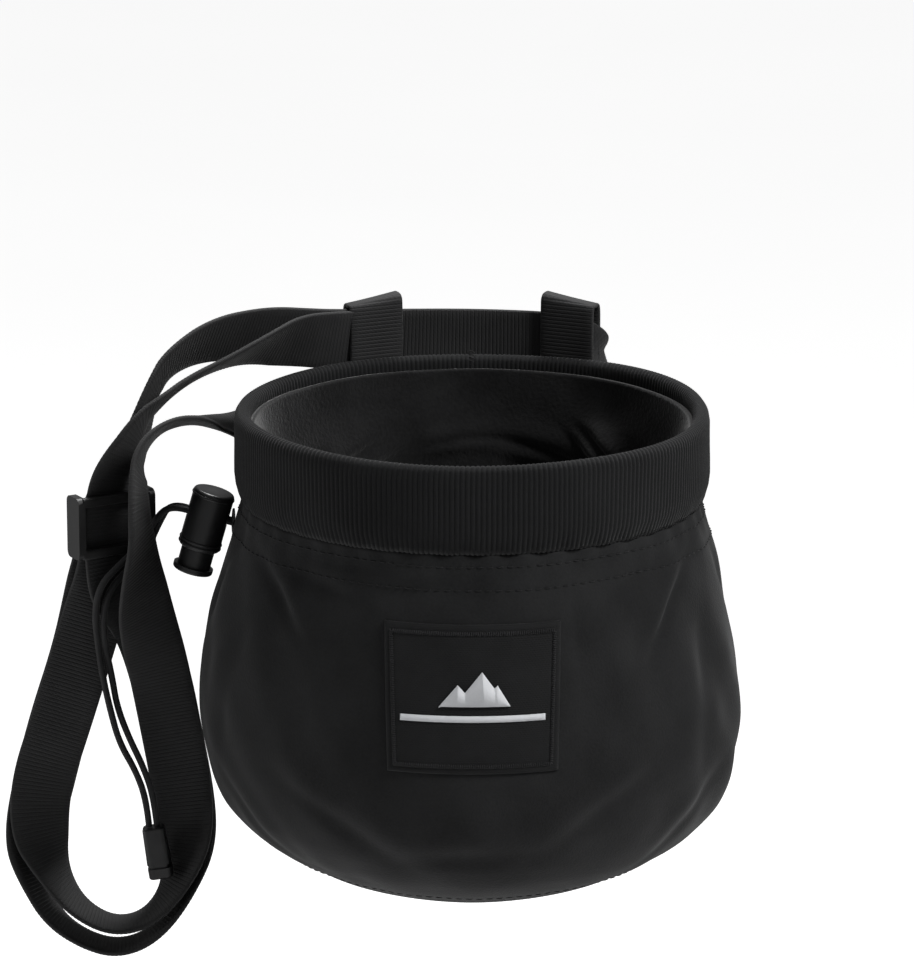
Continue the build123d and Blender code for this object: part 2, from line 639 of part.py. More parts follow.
def strand(name, route):
    """Round cord of straight runs joined by tangent arcs."""
    radii = corner_radii(route)
    with BuildPart() as cord:
        with BuildLine() as path:
            FilletPolyline(*route, radius=radii)
        start = path.wire()
        with BuildSketch(Plane(origin=start @ 0, z_dir=start % 0)):
            Circle(CORD_DIAMETER / 2)
        sweep()
    length = path.wire().length
    ratio = cord.part.volume / (length * pi * (CORD_DIAMETER / 2) ** 2)
    print(f"{name}: length {length:.1f} mm, volume ratio {ratio:.3f}, radii {[round(r, 1) for r in radii]}")
    save(cord.part, name)


strand("drawcord_front_strand", FRONT_STRAND)
strand("drawcord_rear_strand", REAR_STRAND)

lock_up = Vector(sin(radians(LOCK_TILT)), 0, cos(radians(LOCK_TILT)))
lock_along_cord = Vector(-cos(radians(LOCK_TILT)), 0, sin(radians(LOCK_TILT)))
lock_plane = Plane(origin=LOCK_CENTRE, x_dir=(0, 1, 0), z_dir=lock_up)
cord_hole = Plane(origin=LOCK_CENTRE, x_dir=(0, 1, 0), z_dir=lock_along_cord)
HOLE_WIDTH = CORD_PITCH + CORD_DIAMETER + 1.2
HOLE_HEIGHT = CORD_DIAMETER + 1.2
LOCK_BORE = PLUNGER_DIAMETER + 0.4
LOCK_CAP = 1.6

with BuildPart() as cord_lock_body:
    with BuildSketch(lock_plane.offset(-LOCK_BELOW)):
        Circle(LOCK_DIAMETER / 2)
    extrude(amount=LOCK_ABOVE + LOCK_BELOW)
    fillet(cord_lock_body.edges().filter_by(GeomType.CIRCLE), 1.0)
    with BuildSketch(lock_plane.offset(-LOCK_BELOW - 1)):
        Circle(LOCK_BORE / 2)
    extrude(amount=LOCK_ABOVE + LOCK_BELOW + 1 - LOCK_CAP, mode=Mode.SUBTRACT)
    with BuildSketch(cord_hole.offset(-LOCK_DIAMETER)):
        SlotOverall(HOLE_WIDTH, HOLE_HEIGHT)
    extrude(amount=2 * LOCK_DIAMETER, mode=Mode.SUBTRACT)
save(cord_lock_body.part, "cord_lock_body")

PLUNGER_TOP = 2.2
with BuildPart() as cord_lock_plunger:
    with BuildSketch(lock_plane.offset(-LOCK_BELOW - PLUNGER_SHOWING)):
        Circle(PLUNGER_DIAMETER / 2)
    extrude(amount=PLUNGER_TOP + LOCK_BELOW + PLUNGER_SHOWING)
    with BuildSketch(lock_plane.offset(-LOCK_BELOW - PLUNGER_SHOWING)):
        Circle(LOCK_DIAMETER / 2 - 0.2)
    extrude(amount=1.8)
    fillet(cord_lock_plunger.faces().sort_by(Axis.Z)[0].edges(), 0.7)
    with BuildSketch(cord_hole.offset(-LOCK_DIAMETER)):
        with Locations((0, (PLUNGER_TRAVEL + 0.2) / 2)):
            RectangleRounded(HOLE_WIDTH, HOLE_HEIGHT + PLUNGER_TRAVEL + 0.2, 1.2)
    extrude(amount=2 * LOCK_DIAMETER, mode=Mode.SUBTRACT)
save(cord_lock_plunger.part, "cord_lock_plunger")

SPRING_WIRE = 0.5
SPRING_RADIUS = 2.6
SPRING_GAP = 0.45
SPRING_ROOM = LOCK_ABOVE - LOCK_CAP - PLUNGER_TOP - SPRING_WIRE - 3 * SPRING_GAP
spring_plane = lock_plane.offset(PLUNGER_TOP + SPRING_WIRE / 2 + SPRING_GAP)
with BuildPart() as cord_lock_spring:
    with BuildLine(spring_plane) as coil:
        Helix(pitch=SPRING_ROOM / 3, height=SPRING_ROOM, radius=SPRING_RADIUS)
    coil_start = coil.wire()
    with BuildSketch(Plane(origin=coil_start @ 0, z_dir=coil_start % 0)):
        Circle(SPRING_WIRE / 2)
    sweep(is_frenet=True)
save(cord_lock_spring.part, "cord_lock_spring")

# ---- bell-shaped cord end with its clip-in plug --------------------------------------------------------
end_top = Vector(-96.7, -66.2, -136.5)
end_down = Vector(0.15, 0, -0.989).normalized()
end_plane = Plane(origin=end_top, x_dir=(0, 1, 0), z_dir=end_down)
PLUG_LENGTH = 4.6
with BuildPart() as cord_end_bell:
    with BuildSketch(end_plane):
        RectangleRounded(CORD_END_DIAMETER - 1.4, CORD_END_DIAMETER - 0.6, 1.4)
    with BuildSketch(end_plane.offset(CORD_END_LENGTH - PLUG_LENGTH)):
        RectangleRounded(CORD_END_DIAMETER, CORD_END_DIAMETER, 1.6)
    loft()
    fillet(cord_end_bell.faces().sort_by(Axis.Z)[-1].edges(), 0.6)
save(cord_end_bell.part, "cord_end_bell")
with BuildPart() as cord_end_plug:
    with BuildSketch(end_plane.offset(CORD_END_LENGTH - PLUG_LENGTH)):
        RectangleRounded(CORD_END_DIAMETER - 1.2, CORD_END_DIAMETER - 1.2, 1.3)
    extrude(amount=1.2)
    with BuildSketch(end_plane.offset(CORD_END_LENGTH - PLUG_LENGTH + 1.2)):
        RectangleRounded(CORD_END_DIAMETER, CORD_END_DIAMETER, 1.6)
    extrude(amount=PLUG_LENGTH - 1.2)
    fillet(cord_end_plug.faces().sort_by(Axis.Z)[0].edges(), 0.8)
save(cord_end_plug.part, "cord_end_plug")
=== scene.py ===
"""Looks of a climber's chalk bag: sewn cloth, ribbed collar, webbing belt, cords and fittings."""

import logging
import math
from dataclasses import dataclass, field
from enum import Enum
from typing import Iterable, Sequence

import bmesh
import bpy
import numpy as np
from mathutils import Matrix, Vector


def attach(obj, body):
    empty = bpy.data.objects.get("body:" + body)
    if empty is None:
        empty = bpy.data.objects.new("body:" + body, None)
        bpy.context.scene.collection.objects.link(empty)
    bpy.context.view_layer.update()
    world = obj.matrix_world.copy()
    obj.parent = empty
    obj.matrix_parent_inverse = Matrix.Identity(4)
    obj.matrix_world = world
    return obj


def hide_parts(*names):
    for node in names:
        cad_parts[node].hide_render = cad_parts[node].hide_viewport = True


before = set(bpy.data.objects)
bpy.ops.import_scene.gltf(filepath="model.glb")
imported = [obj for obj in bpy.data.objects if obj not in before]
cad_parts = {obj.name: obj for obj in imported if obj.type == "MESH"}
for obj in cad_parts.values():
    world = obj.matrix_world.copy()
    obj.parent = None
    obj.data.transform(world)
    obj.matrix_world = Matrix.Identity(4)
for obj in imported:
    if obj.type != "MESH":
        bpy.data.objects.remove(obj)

LOG = logging.getLogger("chalk_bag")
MM = 0.001
BAG_AXIS_Y = -74.0
BASE_Z = -140.0
LABEL_FACE_RADIUS = 78.0
NECK_GATHERS = 46
LOCK_CENTRE = (-78.7, -70.5, -37.4)
LOCK_LEAN = math.radians(16.0)
SLIDER_BAR = (-107.5, -66.0, -41.0)
SLIDER_TURN = math.radians(30.0)
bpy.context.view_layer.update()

Point = Sequence[float]
Station = tuple[Point, Point]


# ---- shader node groups and materials ----------------------------------------------------------
class Surface(Enum):
    """Kinds of surface detail that a finish can have."""

    BRUSHED = "brushed"
    RIBBED = "ribbed"
    FLEECE = "fleece"
    WEBBING = "webbing"
    THREAD = "thread"
    PRINT = "print"
    MOULDED = "moulded"
    METAL = "metal"
    FLOOR = "floor"


@dataclass(frozen=True)
class Finish:
    """Colours and shine of one material slot.

    dark and light are the two ends of its colour variation, mottle is the size of its blotches in metres,
    grain the size of its fibres or moulding texture in metres, and relief how deep the grain's bump is.
    """

    slot: str
    surface: Surface
    dark: tuple[float, float, float]
    light: tuple[float, float, float]
    roughness: float = 0.85
    spread: float = 0.1
    specular: float = 0.25
    sheen: float = 0.0
    metallic: float = 0.0
    mottle: float = 0.02
    grain: float = 0.0006
    relief: float = 0.0001


class NodeSheet:
    """Adds and joins nodes in one node tree."""

    def __init__(self, tree: bpy.types.NodeTree) -> None:
        """Keep the tree."""
        self.tree = tree

    def add(self, kind: str, inputs: dict | None = None, **settings: object) -> bpy.types.Node:
        """Add a node.

        Args:
            kind: the node's type name.
            inputs: values or output sockets by input name or index.
            settings: attributes to set on the node before its inputs.

        Returns:
            The new node.
        """
        node = self.tree.nodes.new(kind)
        for name, value in settings.items():
            setattr(node, name, value)
        for name, value in (inputs or {}).items():
            socket = node.inputs[name]
            if isinstance(value, bpy.types.NodeSocket):
                self.tree.links.new(value, socket)
            else:
                socket.default_value = value
        return node

    def math(self, operation: str, *values: object) -> bpy.types.NodeSocket:
        """Add a Math node on the values and return its output."""
        return self.add("ShaderNodeMath", dict(enumerate(values)), operation=operation).outputs[0]

    def noise(self, vector: bpy.types.NodeSocket, scale: object, detail: float) -> bpy.types.NodeSocket:
        """Add a Noise Texture and return its value."""
        return self.add("ShaderNodeTexNoise", {"Vector": vector, "Scale": scale, "Detail": detail}).outputs[0]

    def blend(self, amount: bpy.types.NodeSocket, first: Point, second: Point) -> bpy.types.NodeSocket:
        """Mix two colours by an amount and return the colour."""
        node = self.add("ShaderNodeMix", {0: amount}, data_type="RGBA")
        node.inputs[6].default_value = (*first, 1.0)
        node.inputs[7].default_value = (*second, 1.0)
        return node.outputs[2]

    def between(self, value: bpy.types.NodeSocket, low: float, high: float) -> bpy.types.NodeSocket:
        """Map 0 to 1 on to low to high and return the result."""
        return self.add("ShaderNodeMapRange", {0: value, 3: low, 4: high}).outputs[0]


class Effects:
    """Node groups that several materials share."""

    def __init__(self) -> None:
        """Build each group once."""
        self.mottle = self._mottle()
        self.threads = self._threads()
        self.grain = self._grain()

    @staticmethod
    def _open(name: str, inputs: Iterable[tuple[str, str]], outputs: Iterable[str]) -> tuple:
        """Start a group with named sockets.

        Args:
            name: the group's name.
            inputs: pairs of socket name and socket type.
            outputs: names of its value outputs.

        Returns:
            The group, a sheet for its nodes, its input node and its output node.
        """
        group = bpy.data.node_groups.new(name, "ShaderNodeTree")
        for label, kind in inputs:
            group.interface.new_socket(label, in_out="INPUT", socket_type=kind)
        for label in outputs:
            group.interface.new_socket(label, in_out="OUTPUT", socket_type="NodeSocketFloat")
        sheet = NodeSheet(group)
        return group, sheet, sheet.add("NodeGroupInput"), sheet.add("NodeGroupOutput")

    def _mottle(self) -> bpy.types.NodeTree:
        """Blotches of tone over cloth, with fibre specks in them."""
        group, sheet, given, result = self._open(
            "cloth_mottle",
            [
                ("Vector", "NodeSocketVector"), ("Blotch Scale", "NodeSocketFloat"),
                ("Fibre Scale", "NodeSocketFloat")
            ],
            ["Tone", "Height"],
        )
        blotch = sheet.noise(given.outputs[0], given.outputs[1], 3.0)
        fibre = sheet.noise(given.outputs[0], given.outputs[2], 4.0)
        mixed = sheet.math("ADD", sheet.math("MULTIPLY", blotch, 0.65), sheet.math("MULTIPLY", fibre, 0.35))
        tone = sheet.add("ShaderNodeMapRange", {0: mixed, 1: 0.33, 2: 0.67, 3: 0.0, 4: 1.0}).outputs[0]
        group.links.new(tone, result.inputs[0])
        group.links.new(fibre, result.inputs[1])
        return group

    def _threads(self) -> bpy.types.NodeTree:
        """Crossed threads laid out on a flat map: across counts and along counts are threads per unit. The
        second output is painted shade for the gaps between the threads.
        """
        group, sheet, given, result = self._open(
            "crossed_threads",
            [("Vector", "NodeSocketVector"), ("Across", "NodeSocketFloat"), ("Along", "NodeSocketFloat")],
            ["Height", "Painted Gap Shade"],
        )
        split = sheet.add("ShaderNodeSeparateXYZ", {0: given.outputs[0]})
        warp = sheet.math(
            "SINE",
            sheet.math("MULTIPLY", sheet.math("MULTIPLY", split.outputs[0], given.outputs[1]), math.tau)
        )
        weft = sheet.math(
            "SINE",
            sheet.math("MULTIPLY", sheet.math("MULTIPLY", split.outputs[1], given.outputs[2]), math.tau)
        )
        over = sheet.math("MULTIPLY", warp, weft)
        height = sheet.math("ADD", sheet.math("MULTIPLY", over, 0.35), sheet.math("ABSOLUTE", weft))
        # painted shade: 1 where the threads dip into the gaps between them, 0 on their crowns
        gap_shade = sheet.add("ShaderNodeMapRange", {0: height, 1: 0.0, 2: 0.5, 3: 1.0, 4: 0.0}).outputs[0]
        group.links.new(height, result.inputs[0])
        group.links.new(gap_shade, result.inputs[1])
        return group

    def _grain(self) -> bpy.types.NodeTree:
        """Fine moulding texture with soft wear: a fine height and a slow tone."""
        group, sheet, given, result = self._open(
            "moulded_grain",
            [
                ("Vector", "NodeSocketVector"), ("Grain Scale", "NodeSocketFloat"),
                ("Wear Scale", "NodeSocketFloat")
            ],
            ["Height", "Tone"],
        )
        fine = sheet.noise(given.outputs[0], given.outputs[1], 2.0)
        slow = sheet.noise(given.outputs[0], given.outputs[2], 5.0)
        tone = sheet.add("ShaderNodeMapRange", {0: slow, 1: 0.35, 2: 0.7, 3: 0.0, 4: 1.0}).outputs[0]
        group.links.new(fine, result.inputs[0])
        group.links.new(tone, result.inputs[1])
        return group


FINISHES = (
    Finish(
        "shell_cloth", Surface.BRUSHED, (0.0072, 0.0073, 0.0076), (0.0165, 0.0167, 0.0172), 0.9, 0.08, 0.12,
        0.06, 0, 0.022, 0.0007, 0.00012
    ),
    Finish("binding_tape", Surface.BRUSHED, (0.005, 0.005, 0.0053), (0.009, 0.009, 0.0095), 0.85, 0.08, 0.1),
    Finish(
        "ribbed_collar", Surface.RIBBED, (0.0052, 0.0053, 0.0056), (0.0118, 0.012, 0.0125), 0.88, 0.08, 0.1,
        0.07, 0, 0.03, 0.0005, 0.0001
    ),
    Finish("stiffener", Surface.MOULDED, (0.03, 0.03, 0.03), (0.04, 0.04, 0.04), 0.6, 0.1, 0.4),
    Finish(
        "fleece", Surface.FLEECE, (0.0055, 0.0055, 0.0057), (0.014, 0.014, 0.0144), 0.95, 0.05, 0.08, 0.2,
        0, 0.012, 0.0011, 0.0003
    ),
    Finish(
        "label_cloth", Surface.WEBBING, (0.0072, 0.0073, 0.0076), (0.0125, 0.0127, 0.0132), 0.82, 0.1, 0.12,
        0.04, 0, 0.01, 0.0004, 0.00006
    ),
    Finish(
        "label_thread", Surface.THREAD, (0.007, 0.007, 0.0075), (0.015, 0.015, 0.016), 0.75, 0.1, 0.2, 0.06
    ),
    Finish("label_print", Surface.PRINT, (0.45, 0.46, 0.48), (0.62, 0.63, 0.65), 0.6, 0.1, 0.3),
    Finish(
        "webbing", Surface.WEBBING, (0.0098, 0.0098, 0.0101), (0.023, 0.023, 0.0236), 0.78, 0.12, 0.24,
        0.05, 0, 0.02, 0.0004, 0.00005
    ),
    Finish("thread", Surface.THREAD, (0.0052, 0.0052, 0.0055), (0.0115, 0.0115, 0.012), 0.75, 0.1, 0.2, 0.05),
    Finish(
        "acetal", Surface.MOULDED, (0.0095, 0.0095, 0.0098), (0.017, 0.017, 0.0175), 0.5, 0.12, 0.35, 0.0,
        0, 0.01, 0.0003, 0.00002
    ),
    Finish(
        "cord", Surface.THREAD, (0.0045, 0.0045, 0.005), (0.012, 0.012, 0.013), 0.75, 0.1, 0.3, 0.1, 0,
        0.005, 0.0003, 0.00008
    ),
    Finish(
        "blackened_metal", Surface.METAL, (0.02, 0.02, 0.021), (0.05, 0.05, 0.052), 0.4, 0.15, 0.5, 0.0,
        0.9, 0.004, 0.0003, 0.00002
    ),
    Finish(
        "lock_plastic", Surface.MOULDED, (0.009, 0.0091, 0.0095), (0.018, 0.0182, 0.019), 0.46, 0.12, 0.4,
        0.0, 0, 0.008, 0.0003, 0.00002
    ),
    Finish(
        "spring_steel", Surface.METAL, (0.4, 0.4, 0.41), (0.55, 0.55, 0.56), 0.3, 0.1, 0.5, 0.0, 1.0, 0.004,
        0.0002, 0.00001
    ),
    Finish(
        "floor", Surface.FLOOR, (0.86, 0.86, 0.86), (0.9, 0.9, 0.9), 0.9, 0.02, 0.1, 0.0, 0, 0.6, 0.01, 0.0001
    ),
)


class MaterialShelf:
    """Makes the material of each finish from the shared effects."""

    def __init__(self) -> None:
        """Make every material once."""
        self.effects = Effects()
        self.made = {finish.slot: self._make(finish) for finish in FINISHES}

    def __getitem__(self, slot: str) -> bpy.types.Material:
        """Return the material of a slot."""
        return self.made[slot]

    def _make(self, finish: Finish) -> bpy.types.Material:
        """Build one material.

        Args:
            finish: the colours and shine to build.

        Returns:
            The material.
        """
        material = bpy.data.materials.new(finish.slot)
        material.use_nodes = True
        material.node_tree.nodes.clear()
        sheet = NodeSheet(material.node_tree)
        place = sheet.add("ShaderNodeTexCoord")
        rounded = place.outputs["Object"]
        if finish.surface in (Surface.MOULDED, Surface.METAL, Surface.FLOOR, Surface.PRINT):
            effect = self._effect(sheet, self.effects.grain, rounded, 1 / finish.grain, 1 / finish.mottle)
            height, tone = effect.outputs["Height"], effect.outputs["Tone"]
        else:
            effect = self._effect(sheet, self.effects.mottle, rounded, 1 / finish.mottle, 1 / finish.grain)
            height, tone = effect.outputs["Height"], effect.outputs["Tone"]
        if finish.surface is Surface.WEBBING:
            weave = self._effect(sheet, self.effects.threads, place.outputs["UV"], 1100.0, 870.0)
            height = sheet.math("ADD", height, weave.outputs["Height"])
            # painted shade: darkens the colour in the gaps of the weave, down to 0.55 of its tone
            tone = sheet.math("MULTIPLY", tone, sheet.between(weave.outputs["Painted Gap Shade"], 1.0, 0.55))
        colour = sheet.blend(tone, finish.dark, finish.light)
        low, high = finish.roughness - finish.spread, finish.roughness + finish.spread / 2
        bump = sheet.add("ShaderNodeBump", {"Height": height, "Distance": finish.relief, "Strength": 1.0})
        shader = sheet.add(
            "ShaderNodeBsdfPrincipled",
            {
                "Base Color": colour,
                "Roughness": sheet.between(tone, low, high),
                "Metallic": finish.metallic,
                "Specular IOR Level": finish.specular,
                "Sheen Weight": finish.sheen,
                "Sheen Roughness": 0.45,
                "Normal": bump.outputs[0],
            },
        )
        sheet.add("ShaderNodeOutputMaterial", {0: shader.outputs[0]})
        return material

    @staticmethod
    def _effect(
        sheet: NodeSheet, group: bpy.types.NodeTree, vector: bpy.types.NodeSocket, first: float, second: float
    ) -> bpy.types.Node:
        """Place a shared effect with its own values and return its node."""
        node = sheet.add("ShaderNodeGroup", node_tree=group)
        sheet.tree.links.new(vector, node.inputs[0])
        node.inputs[1].default_value = first
        node.inputs[2].default_value = second
        return node


# ---- mesh building -----------------------------------------------------------------------------------
def grid_faces(rows: int, columns: int, wrap_rows: bool = False, wrap_columns: bool = False) -> np.ndarray:
    """Quads of a grid of points numbered row by row.

    Args:
        rows: number of rows.
        columns: number of points in a row.
        wrap_rows: whether the last row joins the first.
        wrap_columns: whether the last column joins the first.

    Returns:
        An array of four point numbers a face.
    """
    r = np.arange(rows if wrap_rows else rows - 1)[:, None]
    c = np.arange(columns if wrap_columns else columns - 1)[None, :]
    up, right = (r + 1) % rows, (c + 1) % columns
    return np.stack(
        [r * columns + c, r * columns + right, up * columns + right, up * columns + c], -1
    ).reshape(-1, 4)


def grid_map(
    rows: int, columns: int, height: float, width: float, wrap_rows: bool, wrap_columns: bool
) -> np.ndarray:
    """Flat map of the same quads, in metres, that runs on over the joins.

    Args:
        rows: number of rows.
        columns: number of points in a row.
        height: size of the map along the rows' direction.
        width: size of the map along a row.
        wrap_rows: as in grid_faces.
        wrap_columns: as in grid_faces.

    Returns:
        An array of faces by four corners by two.
    """
    r = np.arange(rows if wrap_rows else rows - 1)[:, None] + np.array([0, 0, 1, 1])
    c = np.arange(columns if wrap_columns else columns - 1)[:, None] + np.array([0, 1, 1, 0])
    down = np.broadcast_to((r * height / max(rows - 1, 1))[:, None, :], (len(r), len(c), 4))
    over = np.broadcast_to((c * width / max(columns - 1, 1))[None, :, :], (len(r), len(c), 4))
    return np.stack([over, down], -1).reshape(-1, 4, 2)


def make_piece(
    name: str,
    points: np.ndarray,
    faces: Iterable[Sequence[int]],
    slot: str,
    shelf: MaterialShelf,
    body: str = "bag",
    chart: np.ndarray | None = None,
    replaces: Sequence[str] = (),
    recalculate: bool = True,
) -> bpy.types.Object:
    """Make a mesh piece, dress it and set it on its body.

    Args:
        name: the piece's name.
        points: its points, in millimetres in the row frame.
        faces: point numbers of each face.
        slot: the material slot it takes its finish from.
        shelf: where the materials are.
        body: the body it rides on.
        chart: flat map of the quads, which come first among the faces.
        replaces: the solids it stands for.
        recalculate: whether to turn every face outwards.

    Returns:
        The new object.
    """
    mesh = bpy.data.meshes.new(name)
    mesh.from_pydata((np.asarray(points, float) * MM).tolist(), [], [list(map(int, face)) for face in faces])
    if chart is not None:
        layer = mesh.uv_layers.new(name="UVMap")
        flat = np.zeros((len(mesh.loops), 2))
        flat[: chart.shape[0] * 4] = chart.reshape(-1, 2)
        layer.data.foreach_set("uv", flat.ravel())
    if recalculate:
        edit = bmesh.new()
        edit.from_mesh(mesh)
        bmesh.ops.recalc_face_normals(edit, faces=edit.faces)
        edit.to_mesh(mesh)
        edit.free()
    mesh.shade_smooth()
    piece = bpy.data.objects.new(name, mesh)
    bpy.context.scene.collection.objects.link(piece)
    return dress(piece, slot, shelf, body, replaces)


def dress(
    piece: bpy.types.Object, slot: str, shelf: MaterialShelf, body: str, replaces: Sequence[str] = ()
) -> bpy.types.Object:
    """Give a piece its material, slot and body, and hide the solids it stands for."""
    piece.data.materials.clear()
    piece.data.materials.append(shelf[slot])
    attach(piece, body)
    if replaces:
        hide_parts(*replaces)
    LOG.info("%s: %s on %s", piece.name, slot, body)
    return piece


def thicken(piece: bpy.types.Object, thickness: float, offset: float = -1.0) -> None:
    """Turn a one-sided sheet into cloth of that thickness, in millimetres, and keep only its mesh."""
    modifier = piece.modifiers.new("cloth", "SOLIDIFY")
    modifier.thickness = thickness * MM
    modifier.offset = offset
    bake_modifiers(piece)


def bake_modifiers(piece: bpy.types.Object) -> None:
    """Replace a piece's mesh by what its modifiers make of it."""
    shown = bpy.data.meshes.new_from_object(piece.evaluated_get(bpy.context.evaluated_depsgraph_get()))
    piece.modifiers.clear()
    piece.data = shown
    shown.shade_smooth()


def route_line(points: Sequence[Point], resolution: int = 24) -> np.ndarray:
    """Follow a smooth curve through its control points.

    Args:
        points: the route's control points.
        resolution: steps between two control points.

    Returns:
        The curve's points, in the units given.
    """
    curve = bpy.data.curves.new("route", "CURVE")
    curve.dimensions = "3D"
    curve.resolution_u = resolution
    spline = curve.splines.new("NURBS")
    spline.points.add(len(points) - 1)
    for knot, place in zip(spline.points, points):
        knot.co = (*place, 1.0)
    spline.order_u = 3
    spline.use_endpoint_u = True
    holder = bpy.data.objects.new("route", curve)
    line = bpy.data.meshes.new_from_object(holder)
    found = np.array([v.co for v in line.vertices], float)
    bpy.data.meshes.remove(line)
    bpy.data.objects.remove(holder)
    bpy.data.curves.remove(curve)
    return found


def even_steps(line: np.ndarray, step: float, *others: np.ndarray) -> list[np.ndarray]:
    """Points a step apart along a line, and what other arrays hold there."""
    along = np.concatenate([[0.0], np.cumsum(np.linalg.norm(np.diff(line, axis=0), axis=1))])
    at = np.linspace(0.0, along[-1], max(2, int(round(along[-1] / step)) + 1))
    return [np.stack(
        [np.interp(at, along, array[:, k]) for k in range(array.shape[1])], 1
    ) for array in (line, *others)]


def unit(vectors: np.ndarray) -> np.ndarray:
    """Vectors of length one."""
    return vectors / np.maximum(np.linalg.norm(vectors, axis=-1, keepdims=True), 1e-12)


def headings(line: np.ndarray) -> np.ndarray:
    """Direction of a line at each of its points."""
    return unit(np.gradient(line, axis=0))


@dataclass
class Ribbon:
    """Flat woven strap: cords across its width stand up as ribs along its length."""

    width: float = 18.5
    thickness: float = 1.4
    rib_pitch: float = 1.15
    rib_height: float = 0.17
    face_points: int = 9
    steps_a_rib: int = 5

    def _section(self) -> np.ndarray:
        """Rounded outline of the strap across its width: place across and height of each point."""
        round_by = self.thickness * 0.42
        across = np.linspace(-self.width / 2 + round_by, self.width / 2 - round_by, self.face_points)
        turns = np.radians([65.0, 25.0, -25.0, -65.0])
        half = self.thickness / 2
        right = np.stack([across[-1] + round_by * np.cos(turns), half * np.sin(turns) * 0.92], 1)
        top = np.stack([across, np.full_like(across, half)], 1)
        return np.concatenate([top, right, -top, -right])

    def build(
        self,
        name: str,
        stations: Sequence[Station],
        slot: str,
        shelf: MaterialShelf,
        replaces: Sequence[str] = (),
    ) -> tuple[bpy.types.Object, np.ndarray]:
        """Sweep the strap along stations.

        Args:
            name: the piece's name.
            stations: places and directions of the width, in millimetres.
            slot: the material slot.
            shelf: where the materials are.
            replaces: the solids it stands for.

        Returns:
            The piece and its middle line in millimetres.
        """
        places = route_line([place for place, _ in stations])
        widths = route_line([width for _, width in stations])
        line, across = even_steps(places, self.rib_pitch / self.steps_a_rib, widths)
        ahead = headings(line)
        across = unit(across - ahead * (across * ahead).sum(1, keepdims=True))
        normal = np.cross(ahead, across)
        along = np.concatenate([[0.0], np.cumsum(np.linalg.norm(np.diff(line, axis=0), axis=1))])
        section = self._section()
        rib = self.rib_height * np.abs(np.sin(np.pi * along / self.rib_pitch)) ** 0.8 - self.rib_height / 2
        inner = np.clip((self.width / 2 - np.abs(section[:, 0])) / 1.2, 0, 1)
        rise = section[:, 1][None, :] + np.sign(section[:, 1])[None, :] * rib[:, None] * inner[None, :]
        points = line[:, None] + across[:, None] * section[None, :, :1] + normal[:, None] * rise[:, :, None]
        rows, columns = points.shape[:2]
        faces = grid_faces(rows, columns, wrap_columns=True).tolist()
        chart = grid_map(rows, columns, along[-1] * MM, 2 * self.width * MM, False, True)
        faces += [list(range(columns)), list(range((rows - 1) * columns, rows * columns))]
        piece = make_piece(name, points.reshape(-1, 3), faces, slot, shelf, "bag", chart, replaces)
        return piece, line


@dataclass
class BraidedCord:
    """Round cord whose sheath is braided from strands that cross in two directions."""

    diameter: float = 2.0
    strands: int = 8
    relief: float = 0.09
    lay_length: float = 5.2
    sides: int = 24
    step: float = 0.22

    def build(
        self, name: str, route: Sequence[Point], slot: str, shelf: MaterialShelf, replaces: Sequence[str] = ()
    ) -> tuple[bpy.types.Object, np.ndarray]:
        """Sweep the cord along a route in millimetres and return it with its middle line."""
        line = even_steps(route_line(route), self.step)[0]
        ahead = headings(line)
        side = np.empty_like(line)
        side[0] = unit(np.cross(ahead[0], (0.0, 0.3, 1.0)))
        for i in range(1, len(line)):
            side[i] = unit(side[i - 1] - ahead[i] * (side[i - 1] @ ahead[i]))
        other = np.cross(ahead, side)
        along = np.arange(len(line)) * self.step
        turn = np.linspace(0, math.tau, self.sides, endpoint=False)
        twist = math.tau * along[:, None] / self.lay_length
        half = self.strands / 2
        left = np.abs(np.sin(half * (turn[None] + twist)))
        right = np.abs(np.sin(half * (turn[None] - twist)))
        radius = self.diameter / 2 - self.relief + self.relief * 2 * np.maximum(left, right) ** 2 * 0.9
        radius = radius - self.relief * 0.5
        points = line[:, None] + radius[..., None] * (
            side[:, None] * np.cos(turn)[None, :, None] + other[:, None] * np.sin(turn)[None, :, None]
        )
        rows, columns = points.shape[:2]
        faces = grid_faces(rows, columns, wrap_columns=True).tolist()
        faces += [list(range(columns)), list(range((rows - 1) * columns, rows * columns))]
        chart = grid_map(rows, columns, along[-1] * MM, math.pi * self.diameter * MM, False, True)
        return make_piece(name, points.reshape(-1, 3), faces, slot, shelf, "bag", chart, replaces), line


